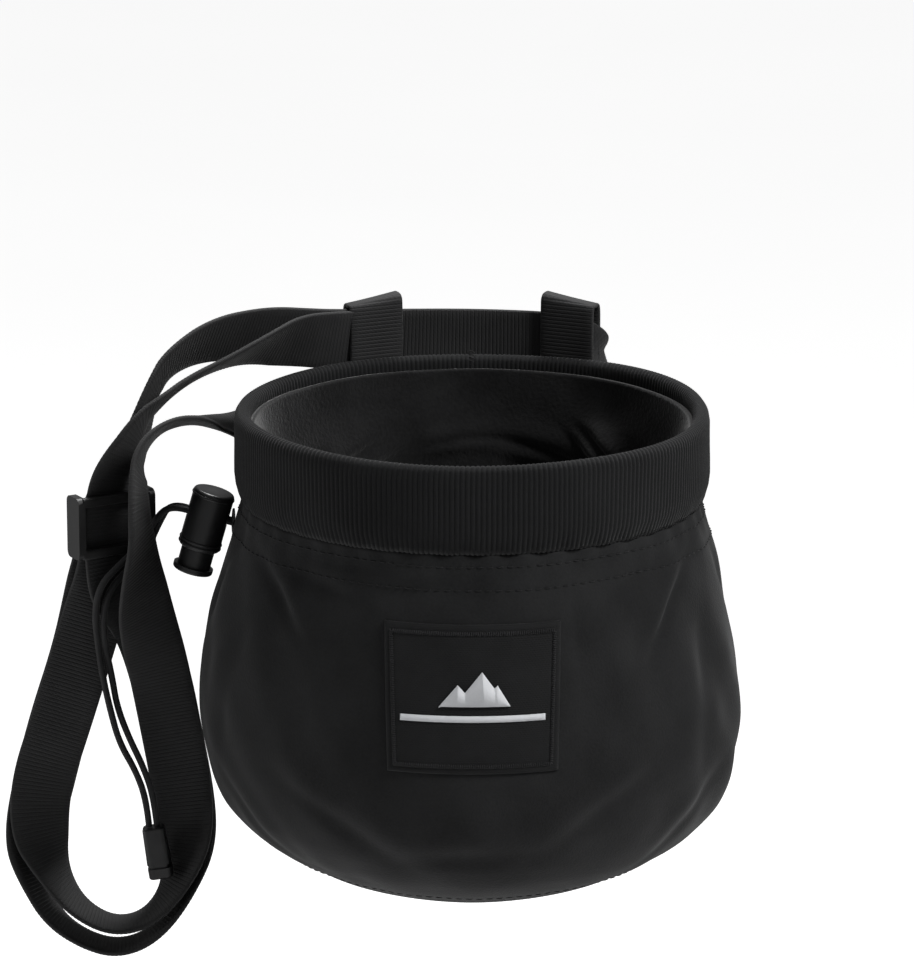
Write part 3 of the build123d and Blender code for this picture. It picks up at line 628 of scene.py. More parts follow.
@dataclass
class Stitching:
    """Rows of thread: each stitch is a short rounded bar that dips at both ends."""

    thread: float = 0.42
    sides: int = 6

    def build(
        self,
        name: str,
        starts: np.ndarray,
        ends: np.ndarray,
        normals: np.ndarray,
        slot: str,
        shelf: MaterialShelf,
        replaces: Sequence[str] = (),
        body: str = "bag",
    ) -> bpy.types.Object:
        """Make one piece of many stitches.

        Args:
            name: the piece's name.
            starts: where each stitch goes in, in millimetres.
            ends: where each comes out.
            normals: outward direction of the cloth at each.
            slot: the material slot.
            shelf: where the materials are.
            replaces: the solids it stands for.
            body: the body it rides on.

        Returns:
            The piece.
        """
        stage = np.array([0.0, 0.12, 0.35, 0.65, 0.88, 1.0])
        girth = np.array([0.5, 0.85, 1.0, 1.0, 0.85, 0.5]) * self.thread / 2
        lift = np.array([-0.3, 0.15, 0.5, 0.5, 0.15, -0.3]) * self.thread
        ahead, up = unit(ends - starts), unit(normals)
        side = unit(np.cross(up, ahead))
        turn = np.linspace(0, math.tau, self.sides, endpoint=False)
        middle = starts[:, None] + (
            ends - starts
        )[:, None] * stage[None, :, None] + up[:, None] * lift[None, :, None]
        round_way = side[:, None] * np.cos(turn)[None, :, None] + up[:, None] * np.sin(turn)[None, :, None]
        points = middle[:, :, None] + round_way[:, None] * girth[None, :, None, None]
        one = grid_faces(len(stage), self.sides, wrap_columns=True).tolist()
        one += [list(range(self.sides)), list(range((len(stage) - 1) * self.sides, len(stage) * self.sides))]
        count = len(stage) * self.sides
        faces = [[corner + k * count for corner in face] for k in range(len(starts)) for face in one]
        return make_piece(name, points.reshape(-1, 3), faces, slot, shelf, body, None, replaces)

    @staticmethod
    def run(line: np.ndarray, pitch: float, share: float = 0.72) -> tuple[np.ndarray, np.ndarray, np.ndarray]:
        """Stitch ends along a line: starts, ends and the share of the line at each."""
        even = even_steps(line, pitch)[0]
        return even[:-1], even[:-1] + (even[1:] - even[:-1]) * share, np.linspace(0, 1, len(even) - 1)


# ---- the bag ---------------------------------------------------------------------------------------------
def smooth_profile(knots: Sequence[tuple[float, float]], at: np.ndarray) -> np.ndarray:
    """Smooth curve through knots of height and value (a Catmull-Rom interpolation).

    Args:
        knots: rising heights, each with its value.
        at: the heights wanted.

    Returns:
        The values there.
    """
    x, y = np.array(knots, float).T
    slope = np.gradient(y, x)
    i = np.clip(np.searchsorted(x, at, side="right") - 1, 0, len(x) - 2)
    run = x[i + 1] - x[i]
    t = np.clip((at - x[i]) / run, 0, 1)
    return (
        (2 * t**3 - 3 * t**2 + 1) * y[i]
        + (t**3 - 2 * t**2 + t) * run * slope[i]
        + (3 * t**2 - 2 * t**3) * y[i + 1]
        + (t**3 - t**2) * run * slope[i + 1]
    )


@dataclass(frozen=True)
class Crease:
    """A fold in cloth: where it is, which way it runs, how long, wide and deep it is (millimetres, degrees)."""

    angle: float
    height: float
    slant: float
    length: float
    width: float
    depth: float

    def shift(self, turn: np.ndarray, height: np.ndarray, radius: float) -> np.ndarray:
        """How far the fold moves the cloth in or out at each place."""
        over = (np.mod(turn - math.radians(self.angle) + math.pi, math.tau) - math.pi) * radius
        up = height - self.height
        lean = math.radians(self.slant)
        along, across = over * math.cos(lean) + up * math.sin(lean), up * math.cos(lean) - over * math.sin(lean)
        across = across + 0.06 * along**2 / self.length
        body = np.exp(-((along / self.length) ** 2))
        valley = np.exp(-((across / self.width) ** 2))
        bank = np.exp(-(((across - 1.9 * self.width) / (1.5 * self.width)) ** 2))
        return self.depth * body * (0.75 * bank - valley)


class Unevenness:
    """Soft irregular waves around the bag, the same on every run."""

    def __init__(self, seed: int, waves: int, turns: tuple[int, int], rise: float) -> None:
        """Draw the waves.

        Args:
            seed: start of the random draws.
            waves: how many waves are added up.
            turns: fewest and most waves round the bag.
            rise: most waves a millimetre of height.
        """
        draw = np.random.default_rng(seed)
        self.around = draw.integers(turns[0], turns[1], waves)
        self.upward = draw.uniform(-rise, rise, waves)
        self.phase = draw.uniform(0, math.tau, waves)
        self.share = 1.0 / math.sqrt(waves / 2)

    def __call__(self, turn: np.ndarray, height: np.ndarray) -> np.ndarray:
        """Value of about -1 to 1 at each place."""
        total = np.zeros(np.broadcast(turn, height).shape)
        for around, upward, phase in zip(self.around, self.upward, self.phase):
            total += np.sin(around * turn + upward * height + phase)
        return total * self.share


@dataclass
class BagBody:
    """Cloth wall, base, lining and label of the bag."""

    shelf: MaterialShelf
    columns: int = 520
    rows: int = 132
    neck: float = 110.0
    shell_thickness: float = 1.6
    label_low: float = 49.0
    label_high: float = 91.0
    label_half_low: float = 24.6
    label_half_high: float = 25.8
    knots: tuple = (
        (0.0, 52.0), (1.6, 54.8), (4.0, 59.6), (9.0, 66.9), (16.0, 73.2), (24.0, 77.3), (33.0, 79.9),
        (42.0, 80.9),
        (52.0, 80.4), (65.0, 78.4), (80.0, 75.2), (95.0, 71.8), (104.0, 69.4), (110.0, 68.0),
    )
    creases: tuple = (
        Crease(-38, 88, 48, 13, 2.2, 1.5),
        Crease(-47, 99, 20, 14, 2.6, 0.9),
        Crease(-142, 92, -35, 15, 2.6, 1.3),
        Crease(-128, 97, -12, 16, 2.8, 0.9),
        Crease(-100, 100, 6, 22, 2.6, 0.7),
        Crease(-155, 60, 75, 20, 4.0, 0.9),
        Crease(-30, 60, 82, 22, 4.5, 0.9),
        Crease(-62, 34, 30, 20, 3.4, 0.9),
        Crease(-120, 30, -28, 22, 3.6, 1.0),
        Crease(-90, 22, 4, 24, 3.4, 0.8),
        Crease(-150, 20, -50, 18, 3.2, 1.0),
        Crease(-35, 22, 44, 18, 3.2, 0.9),
        Crease(-5, 84, -60, 18, 3.2, 1.0),
        Crease(-175, 80, 62, 16, 2.8, 1.0),
        Crease(30, 92, 30, 16, 2.8, 1.2),
        Crease(62, 84, -42, 18, 3.0, 1.2),
        Crease(100, 94, 24, 18, 2.8, 1.2),
        Crease(135, 86, -38, 18, 3.0, 1.2),
        Crease(160, 50, 70, 22, 4.2, 0.9),
        Crease(85, 40, -12, 26, 4.2, 1.0),
        Crease(40, 30, 36, 20, 3.6, 0.9),
        Crease(120, 24, -30, 20, 3.4, 0.9),
    )
    broad: Unevenness = field(default_factory=lambda: Unevenness(11, 14, (2, 7), 0.05))
    fine: Unevenness = field(default_factory=lambda: Unevenness(23, 26, (9, 26), 0.22))

    def radius(self, turn: np.ndarray, height: np.ndarray) -> np.ndarray:
        """Outer radius of the wall at each angle and height, folds and all."""
        base = smooth_profile(self.knots, height)
        leftness = np.clip(-np.cos(turn), 0, 1)
        base = base + 2.4 * leftness**3 * np.exp(-(((height - 66) / 22) ** 2))
        power = 1.84
        corner = (np.abs(np.cos(turn)) ** power + np.abs(np.sin(turn)) ** power) ** (-1 / power)
        low = np.clip(1 - height / 20, 0, 1) ** 1.5
        base = base * (1 + (corner - 1) * low)
        held = np.clip(height / 8, 0, 1) * np.clip((self.neck - height) / 6, 0, 1)
        sideways = np.abs(np.mod(turn + math.pi / 2 + math.pi, math.tau) - math.pi) * LABEL_FACE_RADIUS
        label = np.maximum((sideways - 24) / 9, (np.abs(height - 70) - 20) / 8)
        label = np.clip(label, 0.0, 1.0)
        folds = sum(crease.shift(turn, height, 76.0) for crease in self.creases)
        soft = 0.8 * self.broad(turn, height) + 0.28 * self.fine(turn, height)
        gathers = 0.35 * np.sin(
            NECK_GATHERS * turn + 1.3 * np.sin(3 * turn)
        ) * np.exp(-(self.neck - height) / 6)
        return base + held * label * (
            folds + soft - 0.6
        ) + 0.25 * held * (1 - label) * self.broad(turn, height) + gathers

    def place(self, turn: np.ndarray, height: np.ndarray, offset: float = 0.0) -> np.ndarray:
        """Points of the wall, moved out by an offset, in millimetres in the row frame."""
        radius = self.radius(turn, height) + offset
        turn, height = np.broadcast_arrays(turn, height)
        return np.stack([radius * np.cos(turn), BAG_AXIS_Y + radius * np.sin(turn), BASE_Z + height], -1)

    def build_wall(self) -> bpy.types.Object:
        """Lofted cloth wall from the base seam to the collar."""
        turn = np.linspace(0, math.tau, self.columns, endpoint=False)[None, :]
        height = (self.neck * np.linspace(0, 1, self.rows) ** 1.06)[:, None]
        points = self.place(turn, height)
        faces = grid_faces(self.rows, self.columns, wrap_columns=True)
        chart = grid_map(self.rows, self.columns, 0.135, 0.5, False, True)
        piece = make_piece(
            "bag_wall", points.reshape(-1, 3), faces, "shell_cloth", self.shelf, "bag", chart,
            ["body_shell"], False
        )
        thicken(piece, self.shell_thickness)
        return piece

    def build_base(self) -> bpy.types.Object:
        """Round base panel that sags a little and turns up into the seam."""
        rings, columns = 36, 260
        share = np.linspace(0.004, 1.0, rings)[:, None]
        turn = np.linspace(0, math.tau, columns, endpoint=False)[None, :]
        edge = self.radius(turn, np.zeros_like(turn)) - 0.5
        radius = edge * share
        height = 1.7 * share**6 + 0.35 * np.sin(5 * turn + 2) * share**2 * (1 - share) * 4 - 0.1
        points = np.stack(
            [
                radius * np.cos(turn), BAG_AXIS_Y + radius * np.sin(turn),
                BASE_Z + np.broadcast_to(height, radius.shape)
            ], -1
        )
        faces = grid_faces(rings, columns, wrap_columns=True).tolist() + [list(range(columns))]
        piece = make_piece(
            "base_cloth", points.reshape(-1, 3), faces, "shell_cloth", self.shelf, "bag", None,
            ["base_panel"], False
        )
        thicken(piece, 1.5, 1.0)
        return piece

    def build_lining(self) -> bpy.types.Object:
        """Fleece cup inside the wall, with the soft folds that show through the mouth."""
        rows, columns = 124, 360
        knots = (
            (8.0, 55.0), (14.0, 60.8), (24.0, 67.5), (42.0, 73.6), (65.0, 71.0), (95.0, 64.6),
            (104.0, 62.8), (112.0, 62.8), (119.0, 63.8), (126.0, 64.3), (132.6, 64.5)
        )
        turn = np.linspace(0, math.tau, columns, endpoint=False)[None, :]
        height = (8.0 + 124.6 * np.linspace(0, 1, rows))[:, None]
        radius = smooth_profile(knots, height) + np.zeros_like(turn)
        folds = (
            Crease(47, 108, 32, 13, 2.8, -3.2),
            Crease(70, 106, 12, 18, 3.0, -1.8),
            Crease(95, 109, -8, 12, 2.0, -2.0),
            Crease(128, 104, -24, 18, 3.4, -2.2),
            Crease(20, 100, 40, 16, 3.2, -2.4),
            Crease(155, 98, -40, 16, 3.2, -2.2),
            Crease(-60, 96, 20, 20, 3.6, -2.2),
            Crease(-110, 92, -18, 20, 3.6, -2.2),
        )
        soft = sum(fold.shift(turn, height, 64.0) for fold in folds)
        waves = Unevenness(5, 16, (3, 12), 0.12)(turn, height)
        held = np.clip((132.6 - height) / 14, 0, 1)
        radius = radius - np.clip(held * (np.abs(soft) + 1.1 * (waves + 1.0)), 0, 7)
        wall = np.stack(
            [
                radius * np.cos(turn), BAG_AXIS_Y + radius * np.sin(turn),
                BASE_Z + np.broadcast_to(height, radius.shape)
            ], -1
        )
        share = np.linspace(0.01, 0.985, 24)[:, None]
        floor_radius = radius[0][None, :] * share
        rise = 7.2 + 1.0 * share**5 + 0.6 * np.sin(4 * turn) * share * (1 - share)
        floor = np.stack(
            [
                floor_radius * np.cos(turn), BAG_AXIS_Y + floor_radius * np.sin(turn),
                BASE_Z + rise * np.ones_like(turn)
            ], -1
        )
        points = np.concatenate([floor, wall])
        faces = grid_faces(len(points), columns, wrap_columns=True).tolist() + [list(range(columns))]
        piece = make_piece(
            "lining", points.reshape(-1, 3), faces, "fleece", self.shelf, "bag", None,
            ["fleece_lining", "lining_base"], False
        )
        thicken(piece, 1.2, 1.0)
        return piece

    def build_label(self) -> None:
        """Sewn label: its cloth, the satin border and the raised mark."""
        rows, columns = 64, 78
        inset = np.array([0.0, 0.35, 0.9])
        share_x = np.concatenate(
            [-1 + inset / 26, np.linspace(-0.95, 0.95, columns - 6), (1 - inset / 26)[::-1]]
        )
        share_h = np.concatenate(
            [-1 + inset / 21, np.linspace(-0.94, 0.94, rows - 6), (1 - inset / 21)[::-1]]
        )
        height = (
            self.label_low + self.label_high
        ) / 2 + share_h[:, None] * (self.label_high - self.label_low) / 2
        half = self.label_half_low + (self.label_half_high - self.label_half_low) * (share_h[:, None] + 1) / 2
        over = share_x[None, :] * half
        edge = np.minimum((1 - np.abs(share_x))[None, :] * 25, (1 - np.abs(share_h))[:, None] * 21)
        lift = 0.35 + 0.85 * np.sqrt(np.clip(edge / 0.9, 0, 1)) - 0.12 * np.exp(-(((edge - 2.2) / 0.6) ** 2))
        height = np.broadcast_to(height, over.shape)
        face = self.place(-math.pi / 2 + over / smooth_profile(self.knots, height), height)
        outward = np.stack(
            [np.sin(over / LABEL_FACE_RADIUS), -np.cos(over / LABEL_FACE_RADIUS), np.zeros_like(over)], -1
        )
        front = face + outward * lift[..., None]
        back = face + outward * 0.12
        points = np.concatenate([front.reshape(-1, 3), back.reshape(-1, 3)])
        count = rows * columns
        faces = grid_faces(rows, columns).tolist()
        faces += (grid_faces(rows, columns)[:, ::-1] + count).tolist()
        rim = [*range(columns), *(r * columns + columns - 1 for r in range(1, rows))]
        rim += [*range(count - 2, count - columns - 1, -1), *(r * columns for r in range(rows - 2, 0, -1))]
        faces += [[a, b, b + count, a + count] for a, b in zip(rim, rim[1:] + rim[:1])]
        chart = grid_map(rows, columns, 0.042, 0.051, False, False)
        make_piece(
            "label_cloth_piece", points, faces, "label_cloth", self.shelf, "bag", chart, ["label_patch"]
        )
        self._build_border()
        self._build_mark()

    def _build_border(self) -> None:
        """Satin stitching round the label, a little in from its edge."""
        low, high, inset = self.label_low + 2.4, self.label_high - 2.4, 2.4
        left, right = -self.label_half_low + inset, self.label_half_low - inset
        grow = self.label_half_high - self.label_half_low
        corners = np.array(
            [(left, low), (right, low), (right + grow, high), (left - grow, high), (left, low)], float
        )
        line = even_steps(np.pad(corners, ((0, 0), (0, 1))), 0.62)[0][:, :2]
        ahead = unit(np.gradient(line, axis=0))
        aside = np.stack([-ahead[:, 1], ahead[:, 0]], 1)
        first, second = line - aside * 0.62 - ahead * 0.12, line + aside * 0.62 + ahead * 0.12
        starts = self.place(
            -math.pi / 2 + first[:, 0] / smooth_profile(self.knots, first[:, 1]), first[:, 1], 1.16
        )
        ends = self.place(
            -math.pi / 2 + second[:, 0] / smooth_profile(self.knots, second[:, 1]), second[:, 1], 1.16
        )
        normals = np.stack([
            np.sin(line[:, 0] / LABEL_FACE_RADIUS), -np.cos(line[:, 0] / LABEL_FACE_RADIUS),
            np.zeros(len(line))
        ], -1)
        Stitching(thread=0.5).build(
            "label_satin_border", starts, ends, normals, "label_thread", self.shelf, ["label_border"]
        )

    def _build_mark(self) -> None:
        """Raised plain mark: two peaks over a bar."""
        peaks = [(-9.5, -1.5), (-4.2, 4.6), (-2.2, 2.4), (2.6, 8.2), (6.0, 3.6), (6.9, 4.4), (10.5, -1.5)]
        bar = [(-20.5, -5.9), (20.5, -5.9), (20.5, -4.1), (-20.5, -4.1)]
        shape = bmesh.new()
        for outline in (peaks, bar):
            shape.faces.new([shape.verts.new((x, y, 0.0)) for x, y in outline])
        for cut in np.arange(-20.0, 20.5, 0.75):
            bmesh.ops.bisect_plane(
                shape, geom=[*shape.verts, *shape.edges, *shape.faces], plane_co=(cut, 0, 0),
                plane_no=(1, 0, 0)
            )
        middle = (self.label_low + self.label_high) / 2
        shape.verts.ensure_lookup_table()
        flat = np.array([v.co for v in shape.verts])
        spots = self.place(
            -math.pi / 2 + flat[:, 0] / smooth_profile(self.knots, flat[:, 1] + middle),
            flat[:, 1] + middle, 1.55
        )
        faces = [[v.index for v in face.verts] for face in shape.faces]
        shape.free()
        piece = make_piece(
            "label_mark", spots, faces, "label_print", self.shelf, "bag", None, ["label_motif"], False
        )
        thicken(piece, 0.45)

    def build_seams(self) -> None:
        """Topstitching on the wall: above the base, under the collar, beside the back seam."""
        rows = []
        for height, pitch in ((3.4, 3.0), (100.0, 2.9), (106.6, 2.9)):
            turn = np.linspace(0, math.tau, 900)
            line = self.place(turn, np.full_like(turn, height), 0.02)
            rows.append(Stitching.run(line, pitch)[:2])
        for side in (-1.9, 1.9):
            height = np.linspace(5.0, 99.0, 200)
            line = self.place(math.pi / 2 + side / smooth_profile(self.knots, height), height, 0.02)
            rows.append(Stitching.run(line, 2.9)[:2])
        starts, ends = (np.concatenate([row[k] for row in rows]) for k in (0, 1))
        normals = starts - np.array([0.0, BAG_AXIS_Y, 0.0])
        normals[:, 2] = 0
        Stitching(thread=0.36).build("wall_topstitching", starts, ends, normals, "thread", self.shelf)


@dataclass
class Collar:
    """Ribbed knitted band that is folded over the hoop to make the rolled rim."""

    shelf: MaterialShelf
    ribs: int = 294
    points_a_rib: int = 6
    rib_height: float = 0.3

    def _section(self) -> np.ndarray:
        """Closed outline of the band as radius and height over the base, up its outer face first."""
        outer = [
            (68.7, 110.2), (69.5, 112.2), (70.3, 115.0), (70.7, 118.0), (70.75, 122.0), (70.75, 126.0),
            (70.8, 130.0), (70.85, 133.0)
        ]
        rim = [(70.5, 135.0), (69.6, 136.3), (68.4, 136.7), (67.2, 136.3), (66.3, 135.1)]
        inner = [(66.0, 133.0), (65.95, 130.0), (65.9, 127.0), (65.8, 124.0), (65.9, 121.0), (66.3, 119.9)]
        hidden = [
            (67.3, 120.4), (67.4, 128.0), (67.45, 134.6), (68.3, 135.35), (69.0, 134.6), (69.05, 126.0),
            (69.0, 118.2), (68.2, 114.0), (67.4, 110.8)
        ]
        return np.array(outer + rim + inner + hidden)

    def build(self) -> bpy.types.Object:
        """Turn the section round the mouth and raise the ribs on the faces that show."""
        section = self._section()
        columns = self.ribs * self.points_a_rib
        turn = np.linspace(0, math.tau, columns, endpoint=False)[None, :]
        radius, height = section[:, :1], section[:, 1:]
        closed = np.vstack([section[-1:], section, section[:1]])
        tangent = unit(closed[2:] - closed[:-2])
        out = np.stack([tangent[:, 1], -tangent[:, 0]], 1)
        shows = np.where(np.arange(len(section)) < 19, 1.0, 0.0)[:, None]
        wave = np.abs(np.sin(self.ribs * turn / 2)) ** 0.75 - 0.75
        rib = self.rib_height * wave * shows
        slow = Unevenness(31, 10, (2, 6), 0.02)(turn, height) * 0.45
        tall = np.clip((height - 108) / 24, 0, 1)
        sway = Unevenness(37, 6, (2, 5), 0.0)(turn, height * 0) * 0.45
        pinch = -0.5 * np.exp(-(((height - 111) / 2.0) ** 2)) * (
            1 + np.sin(NECK_GATHERS * turn)
        ) * 0.5 * shows
        r = radius + out[:, :1] * rib + slow * tall + pinch
        z = height + out[:, 1:] * rib + sway * tall
        points = np.stack([r * np.cos(turn), BAG_AXIS_Y + r * np.sin(turn), BASE_Z + z], -1)
        faces = grid_faces(len(section), columns, wrap_rows=True, wrap_columns=True)
        piece = make_piece(
            "collar_ribbing", points.reshape(-1, 3), faces, "ribbed_collar", self.shelf, "bag", None,
            ["collar_band"]
        )
        return piece

    def build_seam(self) -> None:
        """Flat joining seam of the band at the back, sewn with a ladder of stitches over the rim."""
        line = np.array([
            (70.98, 114.0), (71.1, 124.0), (71.1, 132.0), (70.6, 135.4), (68.4, 137.0), (66.1, 135.2),
            (65.6, 130.0), (65.5, 122.0)
        ])
        along = even_steps(np.column_stack([np.zeros(len(line)), line]), 1.15)[0]
        tangent = unit(np.gradient(along, axis=0))
        out = np.stack([np.zeros(len(along)), tangent[:, 2], -tangent[:, 1]], 1)
        centre = np.stack([np.zeros(len(along)), BAG_AXIS_Y + along[:, 1], BASE_Z + along[:, 2]], 1)
        half = np.array([0.9, 0.0, 0.0])
        lean = tangent * 0.3
        starts, ends = centre - half - lean, centre + half + lean
        Stitching(thread=0.42).build("collar_back_seam", starts, ends, out, "thread", self.shelf)


# ---- belt, loops and cords ---------------------------------------------------------------------------------
UP = (0, 0, 1)
GLIDE_ACROSS = (-0.866, -0.5, 0)
REAR_RUN: list[Station] = [
    ((21.0, 8.0, -25.0), (0, 0, -1)),
    ((28.5, 6.2, -25.0), (0, 0.1, -1)),
    ((35.0, 2.6, -22.5), (0.2, 0.5, -0.85)),
    ((39.6, -3.5, -15.0), (0.2, 1, -0.1)),
    ((38.6, -9.6, -6.0), (0.2, 0.8, 0.6)),
    ((33.0, -8.0, -0.6), (0, 0.1, 1)),
    ((24.0, -2.9, 0.0), UP),
    ((0.0, 1.0, 0.0), UP),
    ((-24.0, -1.6, 0.5), UP),
    ((-42.4, -10.4, 2.5), (0, -0.1, 1)),
    ((-52.0, -15.6, 4.5), (0, -0.3, 1)),
    ((-64.0, -25.0, 7.5), (0, -0.42, 1)),
    ((-80.0, -38.0, 8.8), (-0.1, -0.7, 0.7)),
    ((-91.0, -48.0, 4.2), (-0.2, -1, 0.4)),
    ((-96.0, -54.0, -3.5), (-0.15, -1, 0.25)),
    ((-99.5, -56.2, -14.0), (-0.35, -1, 0.15)),
    ((-103.2, -57.4, -24.0), (-0.55, -0.85, 0.1)),
    ((-107.5, -57.6, -33.0), (-0.8, -0.6, 0)),
    ((-110.0, -57.6, -42.0), GLIDE_ACROSS),
]
OUTER_TURN: list[Station] = [
    ((-111.0, -57.8, -52.0), GLIDE_ACROSS),
    ((-114.0, -59.0, -67.0), (-1, 0, 0.3)),
    ((-118.0, -60.0, -84.0), (-1, 0, 0.32)),
    ((-125.0, -60.0, -105.0), (-1, 0, 0.3)),
    ((-130.0, -61.0, -124.0), (-1, -0.05, 0.2)),
    ((-134.0, -63.5, -141.0), (-1, -0.6, 0)),
    ((-133.2, -66.0, -153.0), (-0.35, -1, 0.02)),
    ((-128.0, -69.0, -164.0), (-0.1, -1, 0.05)),
    ((-118.5, -70.5, -171.0), (0, -1, 0.08)),
    ((-107.5, -71.0, -174.2), (0, -1, 0.08)),
    ((-96.5, -69.8, -170.2), (0.05, -1, 0.07)),
    ((-88.5, -65.2, -159.5), (0.3, -1, 0.03)),
    ((-86.0, -57.0, -144.5), (1, -0.5, 0)),
    ((-88.0, -51.0, -130.0), (1, 0, 0.1)),
    ((-91.0, -51.0, -113.0), (1, 0, 0.18)),
    ((-94.5, -55.0, -91.0), (1, 0.1, 0.25)),
    ((-99.5, -60.5, -73.0), (1, 0.3, 0.2)),
    ((-106.5, -65.6, -62.0), (0.87, 0.5, 0)),
    ((-107.5, -66.0, -52.0), (0.87, 0.5, 0)),
    ((-107.5, -66.0, -38.0), (0.87, 0.5, 0)),
    ((-106.8, -65.8, -29.0), (0.8, 0.6, 0)),
]
TAIL: list[Station] = [
    ((-104.6, -64.8, -21.5), (0.58, 0.8, 0)),
    ((-99.8, -62.3, -13.0), (0.35, 0.95, -0.15)),
    ((-95.0, -57.0, -8.0), (0.05, 1, -0.26)),
    ((-86.5, -48.0, -2.4), (0, 1, -0.26)),
    ((-75.5, -39.5, 1.8), (0, 1, -0.28)),
    ((-64.0, -31.0, 4.6), (0, 0.85, -0.5)),
    ((-53.0, -20.5, 4.4), (0, 0.45, -0.9)),
    ((-41.5, -12.8, 2.4), (0, 0.12, -1)),
    ((-26.0, -4.7, 1.0), (0, 0, -1)),
]
INNER_TURN: list[Station] = [
    ((-109.3, -63.0, -50.4), GLIDE_ACROSS),
    ((-110.0, -62.5, -59.0), (-1, -0.3, 0.2)),
    ((-114.0, -61.8, -71.0), (-1, 0, 0.3)),
    ((-118.5, -62.4, -86.0), (-1, 0, 0.32)),
    ((-124.5, -62.8, -105.0), (-1, 0, 0.3)),
    ((-130.5, -63.6, -123.0), (-1, -0.1, 0.2)),
    ((-131.5, -64.5, -138.0), (-1, -0.45, 0)),
    ((-127.2, -67.5, -150.5), (-0.4, -1, 0.03)),
    ((-120.0, -69.0, -161.5), (-0.12, -1, 0.05)),
    ((-109.0, -69.5, -167.6), (0, -1, 0.06)),
    ((-98.0, -68.5, -165.2), (0.12, -1, 0.05)),
    ((-90.0, -65.5, -155.5), (0.4, -1, 0.03)),
    ((-87.0, -61.0, -141.0), (1, -0.45, 0)),
    ((-88.5, -55.5, -126.0), (1, 0, 0.1)),
    ((-91.5, -55.0, -109.0), (1, 0, 0.18)),
    ((-94.5, -59.5, -89.0), (1, 0.1, 0.25)),
    ((-98.0, -67.0, -70.0), (0.9, 0.5, 0.2)),
    ((-98.8, -76.0, -55.0), (0.6, 0.9, 0.1)),
    ((-98.2, -80.0, -42.0), (0.3, 1, 0)),
    ((-98.6, -80.0, -34.0), (0.25, 1, -0.1)),
    ((-98.8, -79.0, -27.0), (0.2, 1, -0.1)),
    ((-98.5, -73.5, -18.5), (0.1, 1, -0.2)),
    ((-93.5, -63.5, -13.2), (-0.1, 1, -0.3)),
    ((-85.5, -53.0, -13.0), (0, 1, -0.3)),
    ((-77.0, -44.0, -16.8), (0, 1, -0.15)),
    ((-68.5, -35.5, -21.0), (0, 1, 0.15)),
    ((-61.0, -25.0, -23.0), (0, 0.8, 0.6)),
    ((-52.0, -14.0, -25.0), (0, 0.2, 1)),
    ((-40.0, -2.5, -26.0), (0, 0, 1)),
    ((-29.0, 5.0, -25.5), (0, 0, 1)),
    ((-21.0, 8.0, -25.0), (0, 0, 1)),
]
FRONT_STRAND: list[Point] = [
    (-71.3, -71.7, -39.4), (-80.5, -71.8, -36.7), (-90.0, -71.6, -34.1), (-94.5, -69.4, -39.0),
    (-98.5, -68.9, -46.5),
    (-105.0, -71.2, -52.5), (-111.0, -72.0, -58.5), (-113.0, -70.0, -67.5), (-112.4, -67.5, -78.0),
    (-111.0, -67.5, -89.0), (-109.0, -67.5, -99.0), (-106.5, -67.0, -109.5), (-101.5, -66.5, -119.0),
    (-98.6, -66.4, -128.0), (-97.9, -66.2, -136.4),
]
REAR_STRAND: list[Point] = [
    (-71.3, -69.3, -39.4), (-80.5, -69.2, -36.7), (-90.0, -68.7, -34.1), (-93.6, -66.8, -41.0),
    (-97.0, -66.9, -48.8),
    (-103.0, -69.0, -54.8), (-108.8, -70.2, -61.0), (-110.6, -69.3, -69.5), (-110.2, -67.4, -79.0),
    (-108.4, -66.2, -89.0), (-107.0, -66.3, -98.5), (-103.6, -66.6, -108.0), (-99.2, -66.0, -118.0),
    (-96.3, -66.0, -127.5), (-95.5, -66.2, -136.2),
]


